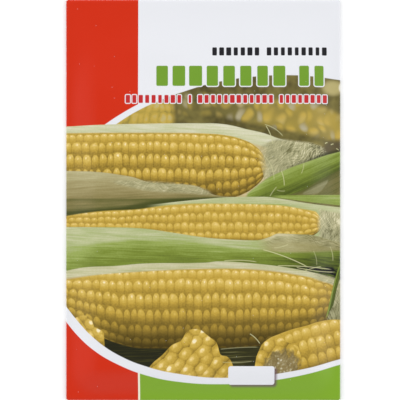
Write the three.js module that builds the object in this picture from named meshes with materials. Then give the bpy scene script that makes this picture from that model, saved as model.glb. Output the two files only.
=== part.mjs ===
// A flat paper seed packet, sealed, with a single layer of sweetcorn seed in it.
//
// The packet is one sheet of coated paper, folded the way a pocket envelope is. A wing on each side of the front
// panel wraps round to the back, the two wings overlap in a glued seam down the middle, and a flap at each end folds
// over the wings and is glued to them. It lies on its back with the printed front up.
//
// Units are millimetres. The origin is at the middle of the packet's underside, +X runs to the right of the front,
// +Y to its top edge, and +Z out of the front.

import * as THREE from "three";

// ---- Driving dimensions ----

const WIDTH = 130;
const HEIGHT = 190;
const PAPER = 0.12; // thickness of the coated paper
const GLUE = 0.06; // thickness of a dried glue film
const CLEARANCE = 0.05; // kept between a glue film and the paper on each side of it
const SEED_GAP = 0.06; // least gap between a seed and the paper

const SEAM_OVERLAP = 12; // how far one back wing lies over the other
const FLAP = { bottom: 19, top: 22, taper: 10 }; // length of each flap, and how much each side narrows
const SEAM_MARGIN = 1; // the upper wing is at its full height this far before the lower one begins
const RAMP = 7; // length over which a wing climbs from one layer to the next
const FOLD = { reach: 0.5, rise: 1.1, steps: 4 }; // a pressed fold: half-width, height between layers, facets

const BELLY = { height: 4.0, halfWidth: 49, low: -79, high: 36 }; // the plateau that the seed holds up
const SEED = { count: 56, length: 9.2, width: 7.2, thickness: 4.0 };
const SEED_GRID = { columns: 8, rows: 10, pitchX: 11.4, pitchY: 11, firstY: -72.5, jitter: 0.5 };

// ---- Worked-out levels: heights of the paper's middle surface ----

const PITCH = PAPER + GLUE + 2 * CLEARANCE; // from one glued layer to the next
const GROUND = PAPER / 2; // paper that lies on the table
const FRONT_EDGE = GROUND + FOLD.rise; // the front panel where it meets a fold
const FOLD_X = (WIDTH - PAPER) / 2 - FOLD.reach; // where the side folds start
const FOLD_Y = (HEIGHT - PAPER) / 2 - FOLD.reach; // where the end folds start
const BOTTOM_FLAP_EDGE = -FOLD_Y + FLAP.bottom;
const TOP_FLAP_EDGE = FOLD_Y - FLAP.top;
const SEAM_EDGE = SEAM_OVERLAP / 2;

const COLOURS = {
  paper: { color: 0xe9ebef, roughness: 0.35, metalness: 0 },
  glue: { color: 0xe6dcc0, roughness: 0.5, metalness: 0 },
  seed: { color: 0xd8a53a, roughness: 0.6, metalness: 0 },
};

const material = (finish) => new THREE.MeshStandardMaterial(finish);
const smooth = (value, from, to) => THREE.MathUtils.smoothstep(value, from, to);

// ---- Heights of the folded sheet ----

// The wings climb one layer where an end flap lies under them.
function liftOverFlap(y) {
  const overBottom = smooth(-y, -BOTTOM_FLAP_EDGE - RAMP, -BOTTOM_FLAP_EDGE);
  const overTop = smooth(y, TOP_FLAP_EDGE - RAMP, TOP_FLAP_EDGE);
  return PITCH * (overBottom + overTop);
}

// The left wing climbs one more layer where it lies over the right one.
function liftOverSeam(x) {
  return PITCH * smooth(x, -SEAM_EDGE - RAMP, -SEAM_EDGE - SEAM_MARGIN);
}

const rightWing = (x, y) => GROUND + liftOverFlap(y);
const leftWing = (x, y) => GROUND + liftOverFlap(y) + liftOverSeam(x);

// The front panel stands clear of the seed on a plateau that eases down to the folds.
function frontPanel(x, y) {
  const across = 1 - smooth(Math.abs(x), BELLY.halfWidth, FOLD_X);
  const along = smooth(y, -FOLD_Y, BELLY.low) * (1 - smooth(y, BELLY.high, FOLD_Y - 4));
  return FRONT_EDGE + BELLY.height * across * along;
}

// ---- The blank, as columns across and rows along ----

// Evenly spaced values from one end to the other, both included.
const spaced = (from, to, steps) =>
  Array.from({ length: steps + 1 }, (_, i) => from + ((to - from) * i) / steps);

// A column holds, for each y, the point of the folded sheet in the XZ plane.
function flatColumn(x, height) {
  return (y) => ({ x, z: height(x, y) });
}

function foldColumn(side, angle, wing) {
  return (y) => {
    const low = wing(side * FOLD_X, y);
    const x = side * (FOLD_X + FOLD.reach * Math.cos(angle));
    return { x, z: (FRONT_EDGE + low) / 2 + ((FRONT_EDGE - low) / 2) * Math.sin(angle) };
  };
}

// From the left wing's free edge, round the left fold, over the front and round the right fold to the right wing.
function blankColumns() {
  const turn = spaced(-Math.PI / 2, Math.PI / 2, FOLD.steps).slice(1, -1);
  const climb = spaced(-SEAM_EDGE - SEAM_MARGIN, -SEAM_EDGE - RAMP, 3);
  const slope = spaced(BELLY.halfWidth, FOLD_X, 4).slice(1);
  const left = [
    ...[SEAM_EDGE, 0, ...climb, ...spaced(-28, -FOLD_X, 2)].map((x) => flatColumn(x, leftWing)),
    ...turn.map((angle) => foldColumn(-1, angle, leftWing)),
  ];
  const front = [
    ...slope.map((x) => -x).reverse(),
    ...spaced(-BELLY.halfWidth, BELLY.halfWidth, 10),
    ...slope,
  ].map((x) => flatColumn(x, frontPanel));
  const right = [
    ...turn.reverse().map((angle) => foldColumn(1, angle, rightWing)),
    ...[...spaced(FOLD_X, 10, 3), 0, -SEAM_EDGE].map((x) => flatColumn(x, rightWing)),
  ];
  return { all: [...left, ...front, ...right], firstFront: left.length, lastFront: left.length + front.length - 1 };
}

// Along the packet: the bottom flap, its fold, the body, the top fold and the top flap.
function blankRows() {
  const body = [
    ...spaced(-FOLD_Y, BELLY.low, 4),
    ...spaced(BOTTOM_FLAP_EDGE, BOTTOM_FLAP_EDGE + RAMP, 3),
    ...spaced(-50, 22, 4),
    ...spaced(BELLY.high, TOP_FLAP_EDGE - RAMP, 3),
    ...spaced(TOP_FLAP_EDGE - RAMP, TOP_FLAP_EDGE, 3).slice(1),
    ...spaced(TOP_FLAP_EDGE, FOLD_Y, 4).slice(1),
  ];
  const turn = spaced(0, Math.PI, FOLD.steps).slice(1, -1);
  const fold = (end) => turn.map((angle) => ({ part: "fold", end, angle }));
  const flap = (end, length) =>
    [0, 0.5, 1].map((share) => ({ part: "flap", end, share, y: end * (FOLD_Y - length * share) }));
  return [
    ...flap(-1, FLAP.bottom).reverse(),
    ...fold(-1).reverse(),
    ...body.map((y) => ({ part: "body", y })),
    ...fold(1),
    ...flap(1, FLAP.top),
  ];
}

// A point of the folded sheet's middle surface.
function place(column, row) {
  if (row.part === "body") {
    const { x, z } = column(row.y);
    return [x, row.y, z];
  }
  if (row.part === "fold") {
    const { x } = column(row.end * FOLD_Y);
    const middle = (FRONT_EDGE + GROUND) / 2;
    const z = middle + (FRONT_EDGE - middle) * Math.cos(row.angle);
    return [x, row.end * (FOLD_Y + FOLD.reach * Math.sin(row.angle)), z];
  }
  const { x } = column(row.end * FOLD_Y);
  return [x * (1 - (FLAP.taper * row.share) / FOLD_X), row.y, GROUND];
}

// ---- Sheets ----

// Gives a flat three.js plane the shape of a folded sheet: point(i, j) places its vertices, and keep(i, j) says
// which of its cells are paper. The result is one closed body, PAPER thick.
function foldedSheet(columns, rows, point, keep) {
  const across = columns - 1;
  const along = rows - 1;
  const plane = new THREE.PlaneGeometry(1, 1, across, along);
  const position = plane.getAttribute("position");
  for (let j = 0; j < rows; j++)
    for (let i = 0; i < columns; i++) position.setXYZ(j * columns + i, ...point(i, j));

  const cells = [];
  for (let j = 0; j < along; j++)
    for (let i = 0; i < across; i++)
      if (keep(i, j)) {
        const a = j * columns + i;
        cells.push([a, a + 1, a + columns + 1, a + columns]);
      }
  const faces = cells.flatMap(([a, b, c, d]) => [a, b, c, a, c, d]);
  plane.setIndex(faces);
  plane.computeVertexNormals();
  return thickened(plane, cells, PAPER);
}

// A surface made of four-sided cells, given a thickness: half of it on each side, and a wall round its free edges.
function thickened(surface, cells, thickness) {
  const position = surface.getAttribute("position");
  const normal = surface.getAttribute("normal");
  const count = position.count;
  const points = new Float32Array(count * 6);
  const p = new THREE.Vector3();
  const n = new THREE.Vector3();
  for (let i = 0; i < count; i++)
    for (const [layer, side] of [[0, 0.5], [1, -0.5]]) {
      p.fromBufferAttribute(position, i).addScaledVector(n.fromBufferAttribute(normal, i), side * thickness);
      p.toArray(points, (layer * count + i) * 3);
    }

  const index = [];
  const edges = new Map();
  for (const cell of cells) {
    const [a, b, c, d] = cell;
    index.push(a, b, c, a, c, d);
    index.push(count + a, count + c, count + b, count + a, count + d, count + c);
    cell.forEach((from, k) => edges.set(`${from} ${cell[(k + 1) % 4]}`, [from, cell[(k + 1) % 4]]));
  }
  for (const [from, to] of edges.values())
    if (!edges.has(`${to} ${from}`)) index.push(from, count + from, count + to, from, count + to, to);

  return new THREE.BufferGeometry().setAttribute("position", new THREE.BufferAttribute(points, 3)).setIndex(index);
}

function envelopeSheet() {
  const columns = blankColumns();
  const rows = blankRows();
  const isBody = (j) => rows[j].part === "body" && rows[j + 1].part === "body";
  const isFront = (i) => i >= columns.firstFront && i < columns.lastFront;
  const geometry = foldedSheet(
    columns.all.length,
    rows.length,
    (i, j) => place(columns.all[i], rows[j]),
    (i, j) => isBody(j) || isFront(i),
  );
  const sheet = new THREE.Mesh(geometry, material(COLOURS.paper));
  sheet.name = "envelope_sheet";
  return sheet;
}

// ---- Glue films ----

// A thin strip that lies in the gap above the layer of paper whose middle surface has the given height.
function glueFilm(name, width, from, to, steps, layerBelow) {
  const geometry = new THREE.BoxGeometry(width, to - from, GLUE, 1, steps, 1);
  const position = geometry.getAttribute("position");
  const middle = (from + to) / 2;
  const rise = PAPER / 2 + CLEARANCE + GLUE / 2;
  for (let i = 0; i < position.count; i++) {
    const y = position.getY(i) + middle;
    position.setY(i, y);
    position.setZ(i, position.getZ(i) + layerBelow(y) + rise);
  }
  const film = new THREE.Mesh(geometry, material(COLOURS.glue));
  film.name = name;
  return film;
}

function glueFilms() {
  const margin = 4; // paper left dry round a film
  const flapWidth = WIDTH - 2 * FLAP.taper - 4 * margin;
  return [
    glueFilm("seam_glue", SEAM_OVERLAP - margin, -FOLD_Y + margin, FOLD_Y - margin, 60, (y) => rightWing(0, y)),
    glueFilm("bottom_flap_glue", flapWidth, -FOLD_Y + margin, -FOLD_Y + FLAP.bottom - 2, 1, () => GROUND),
    glueFilm("top_flap_glue", flapWidth, FOLD_Y - FLAP.top + 2, FOLD_Y - margin, 1, () => GROUND),
  ];
}

// ---- Seed ----

// One shrivelled sweetcorn kernel lying flat: a wedge with a broad dented crown at +Y and a narrow tip at -Y.
function kernelGeometry(length, width, thickness) {
  const geometry = new THREE.SphereGeometry(1, 8, 6);
  const position = geometry.getAttribute("position");
  const p = new THREE.Vector3();
  for (let i = 0; i < position.count; i++) {
    p.fromBufferAttribute(position, i);
    const wedge = 0.78 + 0.22 * p.y; // narrow at the tip
    const dent = 1 - 0.16 * smooth(p.y, 0.3, 1) * (1 - Math.abs(p.x));
    p.set((p.x * wedge * width) / 2, (p.y * dent * length) / 2, (p.z * (0.9 + 0.1 * p.y) * thickness) / 2);
    position.setXYZ(i, p.x, p.y, p.z);
  }
  return geometry;
}

// Where the seeds lie: cells of a loose staggered grid, filled from the bottom of the packet up.
function seedPlaces() {
  const random = (scale) => (THREE.MathUtils.seededRandom() - 0.5) * scale;
  const cells = [];
  for (let row = 0; row < SEED_GRID.rows; row++)
    for (let column = 0; column < SEED_GRID.columns; column++) {
      const stagger = (row % 2 ? 0.25 : -0.25) * SEED_GRID.pitchX;
      const x = (column - (SEED_GRID.columns - 1) / 2) * SEED_GRID.pitchX + stagger;
      const y = SEED_GRID.firstY + row * SEED_GRID.pitchY;
      cells.push({
        x: x + random(2 * SEED_GRID.jitter),
        y: y + random(2 * SEED_GRID.jitter),
        turn: random(2 * Math.PI),
        size: 1 + random(0.14),
        settled: row + random(7),
      });
    }
  return cells.sort((a, b) => a.settled - b.settled).slice(0, SEED.count);
}

function seeds() {
  THREE.MathUtils.seededRandom(7); // the same handful of seed each time
  const bed = GROUND + PITCH + PAPER / 2 + SEED_GAP; // clear of the double layer at the seam
  return seedPlaces().map(({ x, y, turn, size }, i) => {
    const thickness = SEED.thickness * size;
    const geometry = kernelGeometry(SEED.length * size, SEED.width * size, thickness);
    const seed = new THREE.Mesh(geometry, material(COLOURS.seed));
    seed.name = `seed_${String(i + 1).padStart(2, "0")}`;
    seed.position.set(x, y, bed + thickness / 2);
    seed.rotation.z = turn;
    return seed;
  });
}

// ---- The packet ----

const packet = new THREE.Group();
packet.add(envelopeSheet(), ...glueFilms(), ...seeds());

export default packet;
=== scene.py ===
"""Looks for a flat paper seed packet with sweetcorn seed sealed inside it.

The packet is one sheet of coated paper: it is cut flat, printed on one face, folded round the seed and
glued. The print is drawn by its material on the coordinates of the flat blank, so it runs round the folds as
real print does.

Meshes are in metres. The print is laid out in millimetres, with its origin at the middle of the front panel,
+X to the right and +Y to the packet's top edge.
"""

import logging
import math
from collections.abc import Callable, Iterable, Sequence
from dataclasses import dataclass
from enum import Enum

import bmesh
import bpy
import numpy as np
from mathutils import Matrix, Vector


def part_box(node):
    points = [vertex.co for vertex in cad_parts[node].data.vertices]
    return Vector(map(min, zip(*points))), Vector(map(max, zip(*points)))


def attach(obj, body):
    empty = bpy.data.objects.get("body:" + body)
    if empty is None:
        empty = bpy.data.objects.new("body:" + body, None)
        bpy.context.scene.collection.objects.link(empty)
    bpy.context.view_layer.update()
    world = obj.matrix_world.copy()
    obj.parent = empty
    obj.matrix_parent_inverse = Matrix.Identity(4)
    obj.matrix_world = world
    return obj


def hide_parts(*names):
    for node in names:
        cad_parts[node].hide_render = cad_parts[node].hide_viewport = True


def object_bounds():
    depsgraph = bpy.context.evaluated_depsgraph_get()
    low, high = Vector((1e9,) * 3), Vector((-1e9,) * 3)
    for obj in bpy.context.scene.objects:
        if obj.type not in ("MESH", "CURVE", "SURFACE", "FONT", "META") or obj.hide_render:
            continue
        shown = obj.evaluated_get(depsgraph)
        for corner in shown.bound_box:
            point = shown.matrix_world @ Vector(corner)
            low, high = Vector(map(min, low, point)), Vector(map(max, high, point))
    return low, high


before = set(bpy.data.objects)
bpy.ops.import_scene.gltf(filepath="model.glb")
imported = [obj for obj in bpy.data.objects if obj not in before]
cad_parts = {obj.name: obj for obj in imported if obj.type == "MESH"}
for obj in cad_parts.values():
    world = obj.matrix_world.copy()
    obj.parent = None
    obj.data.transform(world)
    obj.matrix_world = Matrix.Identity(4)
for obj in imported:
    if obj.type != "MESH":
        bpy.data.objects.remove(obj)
CAD_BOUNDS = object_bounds()

log = logging.getLogger("seed_packet")

MM = 0.001
BLANK = "blank"  # the attribute that holds each point's place on the flat blank, in millimetres
KERNEL = "kernel"  # the attribute that holds each point's place on its seed, from -1 to 1 each way

Points = Sequence[tuple[float, float]]
Value = "Field | float"  # a number, or one that varies over the surface
Colour = "tuple[float, float, float, float] | bpy.types.NodeSocket"  # linear, or one that varies


# ---- Inks ----

REFLECTANCE = 0.88  # what an ink that looks white in the studio's full light reflects
HAZE = 0.0146  # what the coat's gloss adds to every ink there


def linear(ink: int) -> tuple[float, float, float, float]:
    """Gives the linear colour of an ink.

    Args:
        ink: The colour as it looks in full light, as 0xRRGGBB.

    Returns:
        Red, green, blue and alpha.
    """
    channels = ((ink >> shift & 255) / 255 for shift in (16, 8, 0))
    red, green, blue = (
        c / 12.92 if c <= 0.04045 else ((c + 0.055) / 1.055) ** 2.4 for c in channels
    )
    return (*(REFLECTANCE * max(c - HAZE, 0.0) for c in (red, green, blue)), 1.0)


class Ink(Enum):
    """The flat inks."""

    RED = 0xD3361D
    GREEN = 0x83AC34
    TITLE_GREEN = 0x769F38
    WHITE = 0xEAEBEF
    CREAM = 0xF6EFD8
    BLACK = 0x2B2B2E
    LINE_RED = 0xC43638
    GREY = 0x9EA1A8
    SHADOW = 0x6E5560

    @property
    def colour(self) -> tuple[float, float, float, float]:
        """The ink's linear colour."""
        return linear(self.value)


class Ramp(Enum):
    """Colours that run from the darkest tone of a thing in the picture to its lightest."""

    CORN = (
        (0.0, 0x2A2414), (0.15, 0x564822), (0.3, 0x806A2F), (0.45, 0xA4883A),
        (0.6, 0xC4A346), (0.75, 0xD8B95C), (0.88, 0xEDD082), (1.0, 0xFBEEC4),
    )
    HUSK = (
        (0.0, 0x343C1C), (0.2, 0x5E6A2E), (0.4, 0x7E8E3C), (0.55, 0x9CAC5C),
        (0.7, 0xB4BC86), (0.85, 0xCECEA6), (1.0, 0xE4E0C8),
    )
    DRY_HUSK = (
        (0.0, 0x3E4424), (0.2, 0x67673A), (0.45, 0x918556), (0.65, 0xA89D6F),
        (0.8, 0xBCB488), (1.0, 0xDACFAC),
    )
    SILK = (
        (0.0, 0x25261A), (0.12, 0x4A4828), (0.3, 0x817E58), (0.55, 0xA8A57E),
        (0.75, 0xC0BA90), (1.0, 0xE2DCB8),
    )
    DISTANCE = (
        (0.0, 0x3A3420), (0.25, 0x585132), (0.45, 0x847A46), (0.6, 0xB09A4A),
        (0.75, 0xC6AA52), (0.88, 0xC4B476), (1.0, 0xCEC49A),
    )
    PITH = ((0.0, 0x6A5E3C), (0.4, 0x897A55), (0.7, 0xA39A78), (1.0, 0xD2CCB4))
    SEED = ((0.0, 0x6E3F10), (0.35, 0xA9691C), (0.65, 0xCE9434), (1.0, 0xE6C27C))


# ---- Drawing with nodes ----


class Field:
    """A number that varies over a surface. It takes part in sums as a plain number does."""

    def __init__(self, board: "Board", socket: bpy.types.NodeSocket) -> None:
        """Holds the socket that gives the number."""
        self.board = board
        self.socket = socket

    def __add__(self, other: Value) -> "Field":
        """Adds."""
        return self.board.sum("ADD", self, other)

    __radd__ = __add__

    def __sub__(self, other: Value) -> "Field":
        """Subtracts."""
        return self.board.sum("SUBTRACT", self, other)

    def __rsub__(self, other: float) -> "Field":
        """Subtracts from a plain number."""
        return self.board.sum("SUBTRACT", other, self)

    def __mul__(self, other: Value) -> "Field":
        """Multiplies."""
        return self.board.sum("MULTIPLY", self, other)

    __rmul__ = __mul__

    def __truediv__(self, other: Value) -> "Field":
        """Divides."""
        return self.board.sum("DIVIDE", self, other)

    def __pow__(self, power: float) -> "Field":
        """Raises to a power."""
        return self.board.sum("POWER", self, power)

    def __abs__(self) -> "Field":
        """Drops the sign."""
        return self.board.sum("ABSOLUTE", self)

    def floor(self) -> "Field":
        """Rounds down."""
        return self.board.sum("FLOOR", self)

    def fraction(self) -> "Field":
        """Keeps what is left after rounding down."""
        return self.board.sum("FRACT", self)

    def root(self) -> "Field":
        """Takes the square root."""
        return self.board.sum("SQRT", self)

    def degrees_of_sine(self) -> "Field":
        """Gives the angle, in degrees, whose sine this is."""
        return self.board.sum("DEGREES", self.board.sum("ARCSINE", self.within(-1.0, 1.0)))

    def lesser(self, other: Value) -> "Field":
        """Keeps the smaller of the two."""
        return self.board.sum("MINIMUM", self, other)

    def greater(self, other: Value) -> "Field":
        """Keeps the larger of the two."""
        return self.board.sum("MAXIMUM", self, other)

    def within(self, low: float, high: float) -> "Field":
        """Limits to a range."""
        return self.greater(low).lesser(high)

    def eased(self, start: float, end: float) -> "Field":
        """Rises smoothly from 0 at start to 1 at end, where end may be the lower of the two."""
        return self.board.eased(self, start, end)

    def amid(self, low: float, high: float, softness: float) -> "Field":
        """Is 1 between two numbers and 0 beyond them."""
        return self.eased(low - softness, low + softness) * self.eased(high + softness, high - softness)


class Board:
    """A drawing board over one material's node tree."""

    REACH = 100.0  # outlines lie within this distance of the origin, in millimetres

    def __init__(self, tree: bpy.types.NodeTree) -> None:
        """Starts drawing in a node tree."""
        self.tree = tree

    def node(self, kind: str, **settings: object) -> bpy.types.Node:
        """Adds a node.

        Args:
            kind: The node's type name.
            **settings: Properties to set on it.

        Returns:
            The new node.
        """
        node = self.tree.nodes.new(kind)
        for name, value in settings.items():
            setattr(node, name, value)
        return node

    def feed(self, socket: bpy.types.NodeSocket, value: object) -> None:
        """Gives an input its value: a link for a field or a socket, and otherwise the socket's own value.

        Args:
            socket: The input.
            value: A field, a socket, or a plain value.
        """
        if isinstance(value, Field):
            value = value.socket
        if isinstance(value, bpy.types.NodeSocket):
            self.tree.links.new(value, socket)
        else:
            socket.default_value = value

    def sum(self, operation: str, *values: Value) -> Field:
        """Works out one step of arithmetic.

        Args:
            operation: The step's name on a Math node.
            *values: What it works on.

        Returns:
            The result.
        """
        node = self.node("ShaderNodeMath", operation=operation)
        for socket, value in zip(node.inputs, values):
            self.feed(socket, value)
        return Field(self, node.outputs[0])

    def eased(self, value: Field, start: float, end: float) -> Field:
        """Rises smoothly from 0 to 1 as the value goes from start to end.

        Args:
            value: What is followed.
            start: Where the result is 0.
            end: Where it is 1.

        Returns:
            The result, from 0 to 1.
        """
        node = self.node("ShaderNodeMapRange", interpolation_type="SMOOTHSTEP")
        rising = end > start
        settings = (value, min(start, end), max(start, end), 0.0 if rising else 1.0, 1.0 if rising else 0.0)
        for socket, setting in zip(node.inputs, settings):
            self.feed(socket, setting)
        return Field(self, node.outputs[0])

    def place(self, x: Value, y: Value, z: Value = 0.0) -> bpy.types.NodeSocket:
        """Joins coordinates into a point.

        Args:
            x: The first coordinate.
            y: The second coordinate.
            z: The third coordinate.

        Returns:
            The point.
        """
        node = self.node("ShaderNodeCombineXYZ")
        for socket, value in zip(node.inputs, (x, y, z)):
            self.feed(socket, value)
        return node.outputs[0]

    def split(self, point: bpy.types.NodeSocket) -> tuple[Field, Field, Field]:
        """Takes a point's coordinates apart.

        Args:
            point: The socket that gives the point.

        Returns:
            Its x, y and z.
        """
        node = self.node("ShaderNodeSeparateXYZ")
        self.feed(node.inputs[0], point)
        x, y, z = (Field(self, socket) for socket in node.outputs)
        return x, y, z

    def channels(self, colour: bpy.types.NodeSocket) -> tuple[Field, Field, Field]:
        """Takes a colour's red, green and blue apart.

        Args:
            colour: The socket that gives the colour.

        Returns:
            Its red, green and blue.
        """
        node = self.node("ShaderNodeSeparateColor")
        self.feed(node.inputs[0], colour)
        red, green, blue = (Field(self, socket) for socket in node.outputs)
        return red, green, blue

    def attribute(self, name: str) -> tuple[Field, Field, Field]:
        """Reads a vector attribute of the mesh."""
        return self.split(self.node("ShaderNodeAttribute", attribute_name=name).outputs["Vector"])

    def noise(self, x: Value, y: Value, scale: float = 1.0, detail: float = 2.0) -> Field:
        """Gives soft noise around 0.5.

        Args:
            x: The first coordinate.
            y: The second coordinate.
            scale: How many patches there are in a unit of x or y.
            detail: How many finer layers it has.

        Returns:
            The noise, mostly between 0.25 and 0.75.
        """
        node = self.node("ShaderNodeTexNoise", noise_dimensions="2D")
        self.feed(node.inputs["Vector"], self.place(x, y))
        node.inputs["Scale"].default_value = scale
        node.inputs["Detail"].default_value = detail
        return Field(self, node.outputs[0])

    def chance(self, x: Value, y: Value, seed: float) -> tuple[Field, Field, Field]:
        """Draws three random numbers from 0 to 1 for each pair of whole numbers.

        Args:
            x: The first whole number.
            y: The second whole number.
            seed: Picks another set of random numbers.

        Returns:
            The three random numbers.
        """
        node = self.node("ShaderNodeTexWhiteNoise", noise_dimensions="3D")
        self.feed(node.inputs["Vector"], self.place(x, y, seed))
        return self.channels(node.outputs["Color"])

    def lumps(self, x: Field, y: Field, loose: float,
              smooth: float = 0.0) -> tuple[Field, Field, Field, Field]:
        """Packs lumps of about one unit side by side.

        Args:
            x: The first coordinate, in lumps.
            y: The second coordinate, in lumps.
            loose: How far the lumps stray from a square grid, from 0 to 1.
            smooth: How far neighbours melt into each other, from 0 to 1.

        Returns:
            The distance from the lump's middle, the offsets from it along x and y, and a random number.
        """
        kind = "SMOOTH_F1" if smooth else "F1"
        node = self.node("ShaderNodeTexVoronoi", voronoi_dimensions="2D", feature=kind)
        self.feed(node.inputs["Vector"], self.place(x, y))
        node.inputs["Scale"].default_value = 1.0
        node.inputs["Randomness"].default_value = loose
        if smooth:
            node.inputs["Smoothness"].default_value = smooth
        middle_x, middle_y, _ = self.split(node.outputs["Position"])
        luck, _, _ = self.channels(node.outputs["Color"])
        return Field(self, node.outputs["Distance"]), x - middle_x, y - middle_y, luck

    def outline(self, along: Field, points: Points) -> Field:
        """Follows a smooth line through a few points.

        Args:
            along: The coordinate that the line runs along, in millimetres.
            points: The line's points, as that coordinate and its height, both in millimetres.

        Returns:
            The line's height.
        """
        node = self.node("ShaderNodeFloatCurve")
        curve = node.mapping.curves[0]
        while len(curve.points) < len(points):
            curve.points.new(0.5, 0.5)
        for dot, (at, height) in zip(curve.points, points):
            dot.location = (at / (2 * self.REACH) + 0.5, height / (2 * self.REACH) + 0.5)
            dot.handle_type = "AUTO_CLAMPED"
        node.mapping.extend = "HORIZONTAL"
        node.mapping.update()
        self.feed(node.inputs["Value"], along * (1 / (2 * self.REACH)) + 0.5)
        return (Field(self, node.outputs[0]) - 0.5) * (2 * self.REACH)

    def ramp(self, tone: Field, stops: "Ramp") -> bpy.types.NodeSocket:
        """Turns a tone from 0 to 1 into a colour.

        Args:
            tone: The tone.
            stops: The colours to run through.

        Returns:
            The colour.
        """
        node = self.node("ShaderNodeValToRGB")
        self.feed(node.inputs[0], tone)
        elements = node.color_ramp.elements
        while len(elements) < len(stops.value):
            elements.new(0.5)
        for element, (at, ink) in zip(elements, stops.value):
            element.position = at
            element.color = linear(ink)
        return node.outputs[0]

    def over(self, base: Colour, mask: Value, ink: Colour) -> bpy.types.NodeSocket:
        """Lays a colour over another one where the mask is 1.

        Args:
            base: The colour below.
            mask: Where the new colour lies, from 0 to 1.
            ink: The new colour.

        Returns:
            The colour with the new one laid over it.
        """
        node = self.node("ShaderNodeMix", data_type="RGBA", clamp_factor=True)
        self.feed(node.inputs[0], mask)
        self.feed(node.inputs[6], base)
        self.feed(node.inputs[7], ink)
        return node.outputs[2]

    def layer(self, draw: "Layer", x: Field, y: Field, base: Colour) -> bpy.types.NodeSocket:
        """Draws one layer of a picture in a node group of its own.

        A node is worked out as soon as it can be, and a material has room for few unfinished numbers. So
        a layer's coordinates wait for the colour of the layer below, through a limit that they never reach.

        Args:
            draw: Draws the layer, given a board, the two coordinates and what lies below.
            x: The place across, in millimetres.
            y: The place up, in millimetres.
            base: The colour of what lies below.

        Returns:
            The colour with the layer drawn over it.
        """
        tree = bpy.data.node_groups.new(draw.__name__, "ShaderNodeTree")
        for name, kind in (("Across", "Float"), ("Up", "Float"), ("Below", "Color")):
            tree.interface.new_socket(name, in_out="INPUT", socket_type=f"NodeSocket{kind}")
        tree.interface.new_socket("Drawn", in_out="OUTPUT", socket_type="NodeSocketColor")
        inner = Board(tree)
        given = inner.node("NodeGroupInput").outputs
        across, up, below = Field(inner, given[0]), Field(inner, given[1]), given[2]
        if isinstance(base, bpy.types.NodeSocket):
            grey = inner.node("ShaderNodeRGBToBW")
            inner.feed(grey.inputs[0], below)
            limit = Field(inner, grey.outputs[0]) - 10.0 * self.REACH
            across, up = across.greater(limit), up.greater(limit)
        drawn = draw(inner, across, up, below)
        inner.feed(inner.node("NodeGroupOutput").inputs[0], drawn)

        node = self.node("ShaderNodeGroup", node_tree=tree)
        for socket, value in zip(node.inputs, (x, y, base)):
            self.feed(socket, value)
        return node.outputs[0]


Layer = Callable[[Board, Field, Field, Colour], Colour]


# ---- The printed picture ----


@dataclass(frozen=True)
class Cob:
    """One cob of the picture, lying across it: its whole girth, with what the husks hide."""

    upper: Points  # the top edge
    lower: Points  # the bottom edge
    row_degrees: float  # how much of the girth a row of kernels takes
    row_edge: float  # the angle above the axis, in degrees, where one row meets the next
    pitch: float  # from kernel to kernel along a row
    seed: float  # picks its kernels' sizes, tones and places
    light: float = 0.0  # how much lighter than the cob at the back
    relief: float = 1.0  # how strongly its kernels stand out
    lit_from: float = 0.2  # the height on its girth where its shaded side starts, from -1 to 1
    lit_end: tuple[float, float] = (70.0, 80.0)  # where along X light comes back to the shaded side
    lit_share: float = 0.6  # how much of it comes back
    dim_end: tuple[float, float] = (70.0, 80.0)  # where along X the whole cob gets darker


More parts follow.
